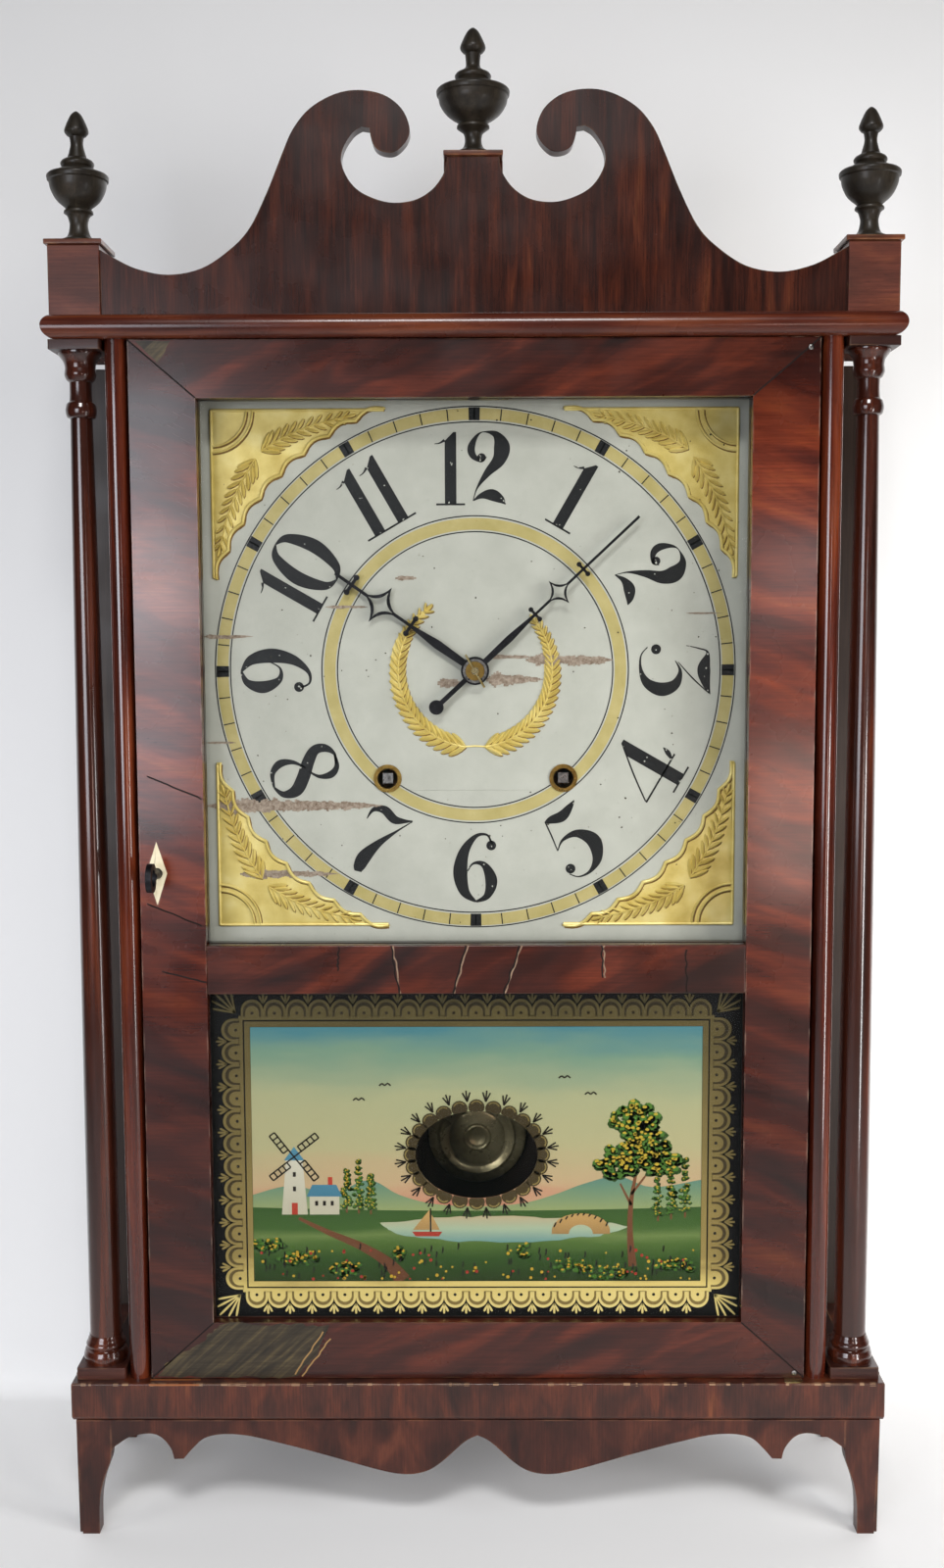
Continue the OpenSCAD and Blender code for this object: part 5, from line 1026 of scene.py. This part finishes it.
# Hinge: domed heads of the wire pins on the door's face, and a thin brass leaf on the base under the lower pin.
# The leaf is cut from sheet and lies flat on the ledge in front of the door; the heads are steel.
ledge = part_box("base_rails")[1].z * 1000
LEAF = [(164.5, -47.4), (167.5, -48.2), (172.5, -47.9), (174.5, -46.6), (174.0, -43.1), (165.0, -43.1)]
LEAF_FOOT, LEAF_FACE = 0.02, 0.28
n = len(LEAF)
leaf_edge = [(i, (i + 1) % n, n + (i + 1) % n, n + i) for i in range(n)]
solid("hinge_leaf", [(x, y, ledge + t) for t in (LEAF_FOOT, LEAF_FACE) for x, y in LEAF],
      [tuple(reversed(range(n))), tuple(range(n, 2 * n))] + leaf_edge, wire_brass, "case", "brass")
PIN_X, PIN_ENDS = 170.4, (88.6, 629.0)
head = [Vector((0, -0.3)), Vector((1.5, -0.3))] + ease([(1.5, 0.1), (1.1, 0.45), (0.5, 0.62), (0.0, 0.66)], 4)
heads = [facing(turned(head, (0, 0, 0), 24), (PIN_X, DOOR_Y, z)) for z in PIN_ENDS]
solid("hinge_pin_heads", *joined(heads), steel, "door", "blackened_iron", True)

# Glass: a clear pane over the dial and a painted pane below with an oval left clear for the bob.
# The painted pane is worked from behind: gilt first, then the picture, then the black ground.
# Old crown glass is nearly clear, with a faint sharp reflection.
clear = shade(blank("clear_old_glass"), Base_Color=rgb("#202522"), Roughness=0.03, Alpha=0.05)
dress("dial_glass", clear)
dress("tablet_glass", clear)
PANE_Z, PANE_BACK_Y = 206.8, -34.2
PANE_HALF, PICTURE_HALF = (147.0, 95.0), (120.5, 70.0)
OVAL = (32.8, 24.0)


def on_pane(points, lift):
    """Points from the lower pane's middle, in mm, behind the glass; more lift is nearer the glass."""
    return [(x, PANE_BACK_Y - lift, PANE_Z + z) for x, z in points]


def behind_pane(shapes, name, lift, material):
    """Flat shapes of paint or gilt behind the lower pane."""
    return flats(shapes, name, lift, material, "painted_glass", on_pane, "door")


def holed(half_w, half_h, oval, steps=120):
    """A rectangle with an oval left out, as a strip of quads."""
    pts = []
    for i in range(steps):
        c, s = math.cos(math.tau * i / steps), math.sin(math.tau * i / steps)
        k = min(half_w / max(abs(c), 1e-9), half_h / max(abs(s), 1e-9))
        pts += [(oval[0] * c, oval[1] * s), (k * c, k * s)]
    slope = math.atan2(half_h, half_w)
    for corner in (slope, math.pi - slope, math.pi + slope, math.tau - slope):
        at = 2 * round(steps * corner / math.tau) + 1
        pts[at] = (math.copysign(half_w, pts[at][0]), math.copysign(half_h, pts[at][1]))
    return pts, [(2 * i, 2 * i + 1, (2 * i + 3) % len(pts), (2 * i + 2) % len(pts)) for i in range(steps)]


def scene_paint(name, stops, z0, z1, rough=0.3):
    """Painted picture tone that changes with height between two heights, in mm from the pane's middle."""
    made = blank(name)
    tree = made.node_tree
    place = add(tree, "TexCoord").outputs["Object"]
    height = add(tree, "SeparateXYZ", {0: place}).outputs[2]
    streaks = add(tree, "Mapping", {"Vector": place, "Scale": (18, 18, 70)}).outputs[0]
    wash = add(tree, "TexNoise", {"Vector": streaks, "Scale": 1.0, "Detail": 5.0}).outputs[0]
    share = add(tree, "MapRange", {"Value": height, "From Min": (PANE_Z + z0) * 0.001,
                                   "From Max": (PANE_Z + z1) * 0.001}).outputs[0]
    drift = add(tree, "MapRange", {"Value": wash, "From Min": 0.25, "From Max": 0.75, "To Min": -0.06,
                                   "To Max": 0.06}).outputs[0]
    moved = add(tree, "Math", {0: share, 1: drift}, operation="ADD").outputs[0]
    tint = add(tree, "ValToRGB", {"Fac": moved}, stops).outputs[0]
    return shade(made, Base_Color=tint, Roughness=rough, Specular_IOR_Level=0.3)


# Lamp-black paint gives an even deep black that hardly shines.
lamp_black = shade(blank("black_ground_paint"), Base_Color=rgb("#080808"), Roughness=0.6,
                   Specular_IOR_Level=0.2)
behind_pane([holed(*PANE_HALF, OVAL)], "black_ground", 0.0, lamp_black)

# Picture on the lower pane: a made-up landscape with hills, lake, trees, windmill, cottage, bridge and boat.
# Oil washes come first, then dabs of leaf paint in three tones, then walls and roofs, and last the ink lines.
# Seen through glass, thin oil paint is soft and a little streaky, with hardly any shine of its own.
SKY_FOOT, LAND_FOOT, SKY_TOP = -31, -70, 70
sky_paint = scene_paint("sky_wash", [(0.0, "#b5705c"), (0.14, "#b39a74"), (0.36, "#a6a177"), (0.62, "#9d9f78"),
                                     (0.86, "#6d8a74"), (1.0, "#44757c")], SKY_FOOT, SKY_TOP)
behind_pane([holed(*PICTURE_HALF, OVAL)], "painted_sky", 0.04, sky_paint)


def ground(tops, foot):
    """A stretch of painted land from a list of points along its upper edge down to a foot line."""
    run = ease(tops, 6)
    pts = []
    for p in run:
        pts += [(p[0], p[1]), (p[0], foot)]
    return pts, ladder(len(run) - 1)


hill_paint = scene_paint("far_hill_wash", [(0.0, "#86925f"), (0.6, "#5f8068"), (1.0, "#4b7172")], SKY_FOOT, -8)
HILLS = [(-120.5, -22), (-100, -17), (-78, -21), (-58, -14), (-42, -22), (-24, -27), (0, -28.5), (24, -27),
         (42, -22), (58, -16), (76, -12), (94, -18), (120.5, -14)]
behind_pane([ground(HILLS, SKY_FOOT)], "far_hills", 0.06, hill_paint)
meadow = scene_paint("meadow_wash", [(0.0, "#213410"), (0.3, "#2b4719"), (0.5, "#466029"), (0.62, "#60743e"),
                                     (0.75, "#3a5725"), (1.0, "#304d20")], LAND_FOOT, -29)
NEAR_LAND = [(-120.5, -29), (-60, -30.5), (0, -31), (60, -30.5), (120.5, -29)]
behind_pane([ground(NEAR_LAND, LAND_FOOT)], "meadow", 0.08, meadow)
water = scene_paint("lake_wash", [(0.0, "#5f8783"), (0.5, "#98a98c"), (1.0, "#ad9c78")], -49, -33)
SHORE = [(-52, -38), (-20, -34.5), (20, -34), (58, -36), (84, -40), (66, -45), (30, -48.5), (-10, -48),
         (-44, -44)]
behind_pane([ragged(SHORE, 0.5, 8)], "lake", 0.1, water)
dark_green = scene_paint("deep_leaf_green", [(0.0, "#1f3315"), (1.0, "#33511f")], -70, 60)
mid_green = scene_paint("leaf_green", [(0.0, "#3b6020"), (1.0, "#4c742b")], -70, 60)
yellow_leaf = scene_paint("yellow_leaf", [(0.0, "#b08f28"), (1.0, "#a89a34")], -70, 60)
bark = scene_paint("bark_brown", [(0.0, "#5a3620"), (1.0, "#7b5233")], -70, 40)
stone = scene_paint("warm_white_wash", [(0.0, "#aaa58c"), (1.0, "#c6c3b0")], -40, 10)
slate = scene_paint("slate_blue", [(0.0, "#3d6d80"), (1.0, "#4f8598")], -30, 20)
red = scene_paint("brick_red", [(0.0, "#8f2f22"), (1.0, "#b8442f")], -60, 20)
line_ink = scene_paint("drawing_ink", [(0.0, "#16130d"), (1.0, "#221c12")], -70, 70)
random.seed(21)
deep, mid, tips, trunks = [], [], [], []


def dab(x, z, r):
    """A brushed dab of leaf paint: a small uneven blot, wider than high."""
    return patch(*((x + 1.25 * r * random.uniform(0.7, 1.2) * math.cos(math.tau * i / 9),
                    z + r * random.uniform(0.6, 1.1) * math.sin(math.tau * i / 9)) for i in range(9)))


def crown(x, z, w, h, count, size):
    """Painted foliage: dabs in three tones filling an oval, lighter ones up and left."""
    for _ in range(count):
        a, r = random.uniform(0, 2 * math.pi), math.sqrt(random.random())
        px, pz = x + w * r * math.cos(a), z + h * r * math.sin(a)
        s = size * random.uniform(0.7, 1.2)
        deep.append(dab(px, pz, s))
        mid.append(dab(px - 0.1 * s, pz + 0.3 * s, s * 0.68))
        if random.random() < 0.6:
            tips.append(dab(px - 0.25 * s, pz + 0.6 * s, s * 0.34))


def oblong(x0, z0, x1, z1):
    """An upright rectangle from its lower left to its upper right corner."""
    return patch((x0, z0), (x1, z0), (x1, z1), (x0, z1))


# Poplars as foot and height, the tree's limbs and crowns, then low bushes
POPLARS = ((-70, -30, 21), (-63.5, -30.5, 26), (-57, -31, 19), (112, -33, 30), (104.5, -34, 24),
           (97.5, -35, 27))
for x, z, tall in POPLARS:
    trunks.append(oblong(x - 0.5, z - 2, x + 0.5, z + 4))
    for t in (k / 8 for k in range(9)):
        crown(x, z + 2 + (tall - 2) * t, 2.9 * (1 - 0.8 * t) + 0.3, 1.3, 5, 1.25)
trunks += [stroke([(84, -62, 4.6), (82.5, -44, 3.2), (83, -26, 2.4), (86, -8, 1.4)]),
           stroke([(83, -28, 1.6), (77, -16, 1.0)]), stroke([(83, -22, 1.6), (92, -10, 0.9)])]
for x, z, w, h, count in ((86, 4, 17, 10, 90), (75, -7, 11, 6, 42), (98, -5, 11, 6, 42), (85, 18, 12, 10, 64)):
    crown(x, z, w, h, count, 2.7)
for x, z, w in ((-112, -50, 9), (-94, -58, 13), (-70, -64, 10), (52, -62, 11), (70, -66, 12), (108, -62, 12),
                (-40, -55, 5), (26, -53, 4)):
    crown(x, z, w, 3.6, int(w * 2.6), 1.9)
behind_pane(trunks, "painted_trunks", 0.14, bark)
behind_pane(deep, "foliage_dark", 0.18, dark_green)
behind_pane(mid, "foliage_green", 0.2, mid_green)
behind_pane(tips, "foliage_yellow", 0.22, yellow_leaf)
mill_tower = patch((-105, -33), (-91, -33), (-93.5, -3), (-102.5, -3))
cottage = oblong(-90, -33, -74, -23)
behind_pane([mill_tower, cottage], "white_walls", 0.12, stone)
BRIDGE_X, BRIDGE_Z = 56, -44
arch = []
for i in range(13):
    c, s = math.cos(math.pi * i / 12), math.sin(math.pi * i / 12)
    arch += [(BRIDGE_X - 6.5 * c, BRIDGE_Z + 5.2 * s),
             (BRIDGE_X - 17.5 * c * (0.9 + 0.1 * s), BRIDGE_Z + 11.5 * s)]
main_sail = patch((-34.5, -41.6), (-25.4, -41.6), (-25.4, -30.4))
fore_sail = patch((-24.4, -41.6), (-20.0, -41.6), (-24.4, -33.0))
ochre = scene_paint("ochre_wash", [(0.0, "#8a6d42"), (1.0, "#c09a5c")], -46, -28)
behind_pane([(arch, ladder(12)), main_sail, fore_sail], "ochre_bridge_and_sail", 0.12, ochre)
mill_cap = patch((-103.5, -3), (-92.5, -3), (-98, 4.5))
cottage_roof = patch((-91.5, -23), (-72.5, -23), (-75.5, -16.5), (-88.5, -16.5))
behind_pane([mill_cap, cottage_roof], "blue_roofs", 0.13, slate)
chimney, mill_door = oblong(-80, -16.5, -77.6, -12.2), oblong(-99.6, -33, -96.4, -26.5)
hull = patch((-35, -42.6), (-18.5, -42.6), (-20.5, -45.2), (-33, -45.2))
behind_pane([chimney, mill_door, hull], "red_chimney_door_and_hull", 0.15, red)
MILL = Vector((-98.0, -1.0))
SAIL_FOOT, SAIL_TIP, SAIL_WIDE = 5, 17, 3.4
ink = []
for a in (38, 128, 218, 308):
    way = Vector((math.cos(math.radians(a)), math.sin(math.radians(a))))
    wide = Vector((-way.y, way.x)) * SAIL_WIDE
    foot, tip = MILL + way * SAIL_FOOT, MILL + way * SAIL_TIP
    ink.append(stroke([(*MILL, 0.6), (*tip, 0.5)], 2))
    ink += [stroke([(*(MILL + way * r), 0.35), (*(MILL + way * r + wide), 0.35)], 2)
            for r in range(SAIL_FOOT, SAIL_TIP + 1, 3)]
    ink.append(stroke([(*(foot + wide), 0.35), (*(tip + wide), 0.35)], 2))
WINDOWS = ((-87, -28), (-82.8, -28), (-78.6, -28), (-98.8, -12), (-98.8, -20))
ink += [oblong(x, z, x + 1.6, z + 2.6) for x, z in WINDOWS]
mast = stroke([(-24.9, -42.6, 0.5), (-24.9, -29.6, 0.4)], 2)
ink.append(mast)
BIRDS = ((-66, 30), (-52, 38), (44, 42), (58, 33))
ink += [stroke([(x, z, 0.3), (x + 1.6, z + 1.2, 0.6), (x + 3.0, z + 0.2, 0.3), (x + 4.6, z + 1.3, 0.6),
                (x + 6.2, z, 0.3)], 3) for x, z in BIRDS]
for i in range(1, 11):
    bow = 10.2 * math.sin(math.pi * (i + 0.4) / 12)
    ink.append(stroke([(38.4 + 3.1 * i, BRIDGE_Z + 0.2 + bow, 0.3),
                       (39.6 + 3.1 * i, -40.4 + bow * 0.8, 0.3)], 2))
grass = [(random.uniform(-118, 118), random.uniform(-69, -52)) for _ in range(70)]
ink += [stroke([(x, z, 0.3), (x + 0.5, z + 2.2, 0.45), (x + 0.2, z + 3.4, 0.2)], 2) for x, z in grass]
behind_pane(ink, "ink_drawing", 0.24, line_ink)
path_home = stroke([(-40, -70, 9), (-48, -60, 6), (-62, -51, 4.4), (-80, -43, 3), (-96, -35, 1.6)])
behind_pane([path_home], "painted_path", 0.1, bark)
blooms = [dot(random.uniform(-118, 118), -69 + 17 * random.random() ** 1.6, random.uniform(0.5, 0.95))
          for _ in range(90)]
behind_pane(blooms[:55], "yellow_flowers", 0.26, yellow_leaf)
behind_pane(blooms[55:], "red_flowers", 0.26, red)

# Gilt border of the painted pane: arched scallops with shaded hearts, fan drops, corner sprays, two fine lines.
# A ring of small scallops and dark drops goes round the oval.
# Gold leaf under glass shines softly; a painted reflection makes it bright at the foot of the pane and duller
# towards its top.
pane_gold_painted_reflection = scene_paint("gilding_with_painted_reflection",
                        [(0.0, "#d8c67e"), (0.1, "#c9b469"), (0.17, "#8c7a44"), (0.5, "#74663a"),
                         (0.85, "#574d2c"), (1.0, "#453e24")], -90, 90, 0.32)
# Dark gilding of the scallops' own shading, also painted lighter at the foot and darker at the top as a painted
# reflection.
dark_gilt_painted_reflection = scene_paint("shaded_gilding_painted_reflection", [(0.0, "#7d6a38"), (0.2, "#45391d"), (1.0, "#241f12")],
                          -90, 90, 0.32)
gilt, shaded, hearts, eyes = [], [], [], []


def arched(x, z, turn, r, stem):
    """A half disc on a short stem, its foot at a point and its head turned outward."""
    c, s = math.cos(turn), math.sin(turn)
    head = [(r * math.cos(math.pi * i / 14), stem + r * math.sin(math.pi * i / 14)) for i in range(15)]
    return patch(*((x + c * u - s * v, z + s * u + c * v) for u, v in [(-r, 0), (r, 0)] + head))


def fan(x, z, turn, rays, apart, length, width):
    """Tapered rays opening from a point, each turned by some degrees from the next."""
    made = []
    for i in range(rays):
        a = turn + math.pi / 2 + math.radians(apart) * (i - (rays - 1) / 2)
        size = length * (1 - 0.12 * abs(i - (rays - 1) / 2))
        made.append(stroke([(x, z, 0.5), (x + 0.7 * size * math.cos(a), z + 0.7 * size * math.sin(a), width),
                            (x + size * math.cos(a), z + size * math.sin(a), 0.8)], 4))
    return made


BORDER_HALF = (126.2, 75.8)
wide, tall = BORDER_HALF
for turn, count, reach, along in ((0, 21, tall, wide), (math.pi, 21, tall, wide), (math.pi / 2, 12, wide, tall),
                                  (-math.pi / 2, 12, wide, tall)):
    span = 2 * along - 2.0
    pitch = span / count
    c, s = math.cos(turn), math.sin(turn)
    for i in range(count + 1):
        u = -span / 2 + pitch * i
        if i < count:
            v = u + pitch / 2
            x, z = c * v - s * reach, s * v + c * reach
            gilt.append(arched(x, z, turn, pitch / 2, 3.4))
            shaded.append(arched(x, z, turn, pitch / 2 * 0.8, 3.0))
            hearts.append(arched(x, z, turn, pitch / 2 * 0.62, 2.2))
            eyes.append(dot(c * v - s * (reach + 1.9), s * v + c * (reach + 1.9), 0.85))
        if 0 < i < count:
            x, z = c * u - s * (reach + 7.0), s * u + c * (reach + 7.0)
            gilt += fan(x, z, turn, rays=3, apart=27, length=5.6, width=1.2)
for sx, sz in SIGNS:
    gilt += fan(sx * (wide + 2.0), sz * (tall + 2.0), math.atan2(sz, sx) - math.pi / 2, rays=5, apart=17,
                length=16.0, width=1.25)


def frame_line(w, h, t):
    """A rectangular line of even thickness, outer half sizes given."""
    pts = []
    for a, b in ((w, h), (w - t, h - t)):
        pts += [(-a, -b), (a, -b), (a, b), (-a, b)]
    return pts, [(i, (i + 1) % 4, 4 + (i + 1) % 4, 4 + i) for i in range(4)]


gilt += [frame_line(126.6, 76.2, 2.2), frame_line(123.6, 73.2, 3.0)]
behind_pane(gilt, "gilt_scallops", 0.3, pane_gold_painted_reflection)
behind_pane(shaded, "gilt_scallop_shade", 0.34, dark_gilt_painted_reflection)
behind_pane(hearts, "gilt_scallop_hearts", 0.38, pane_gold_painted_reflection)
behind_pane(eyes, "scallop_eyes", 0.42, line_ink)
OVAL_SCALLOPS = 24
petals, bows, drops = [], [], []
for i in range(OVAL_SCALLOPS):
    a = math.tau * i / OVAL_SCALLOPS
    x, z = (OVAL[0] + 2.2) * math.cos(a), (OVAL[1] + 2.2) * math.sin(a)
    rim = []
    for px, pz in dot(x, z, 4.4)[0]:
        inside = min(math.hypot(px / OVAL[0], pz / OVAL[1]), 1.0)
        rim.append((px / inside, pz / inside))
    petals.append(patch(*rim))
    out = math.atan2(z / OVAL[1] ** 2, x / OVAL[0] ** 2)
    bows.append(stroke([(x + 3.3 * math.cos(out + k * 0.5), z + 3.3 * math.sin(out + k * 0.5), 0.8)
                        for k in (-2, -1, 0, 1, 2)], 3))
    c, s = math.cos(a + math.pi / OVAL_SCALLOPS), math.sin(a + math.pi / OVAL_SCALLOPS)
    drops += fan((OVAL[0] + 5.4) * c, (OVAL[1] + 5.4) * s, math.atan2(s / OVAL[1], c / OVAL[0]) - math.pi / 2,
                 rays=3, apart=22, length=6.2, width=0.75)
behind_pane(petals, "oval_scallops", 0.3, dark_gilt_painted_reflection)
behind_pane(bows, "oval_scallop_lines", 0.34, pane_gold_painted_reflection)
behind_pane(drops, "oval_drops", 0.3, line_ink)
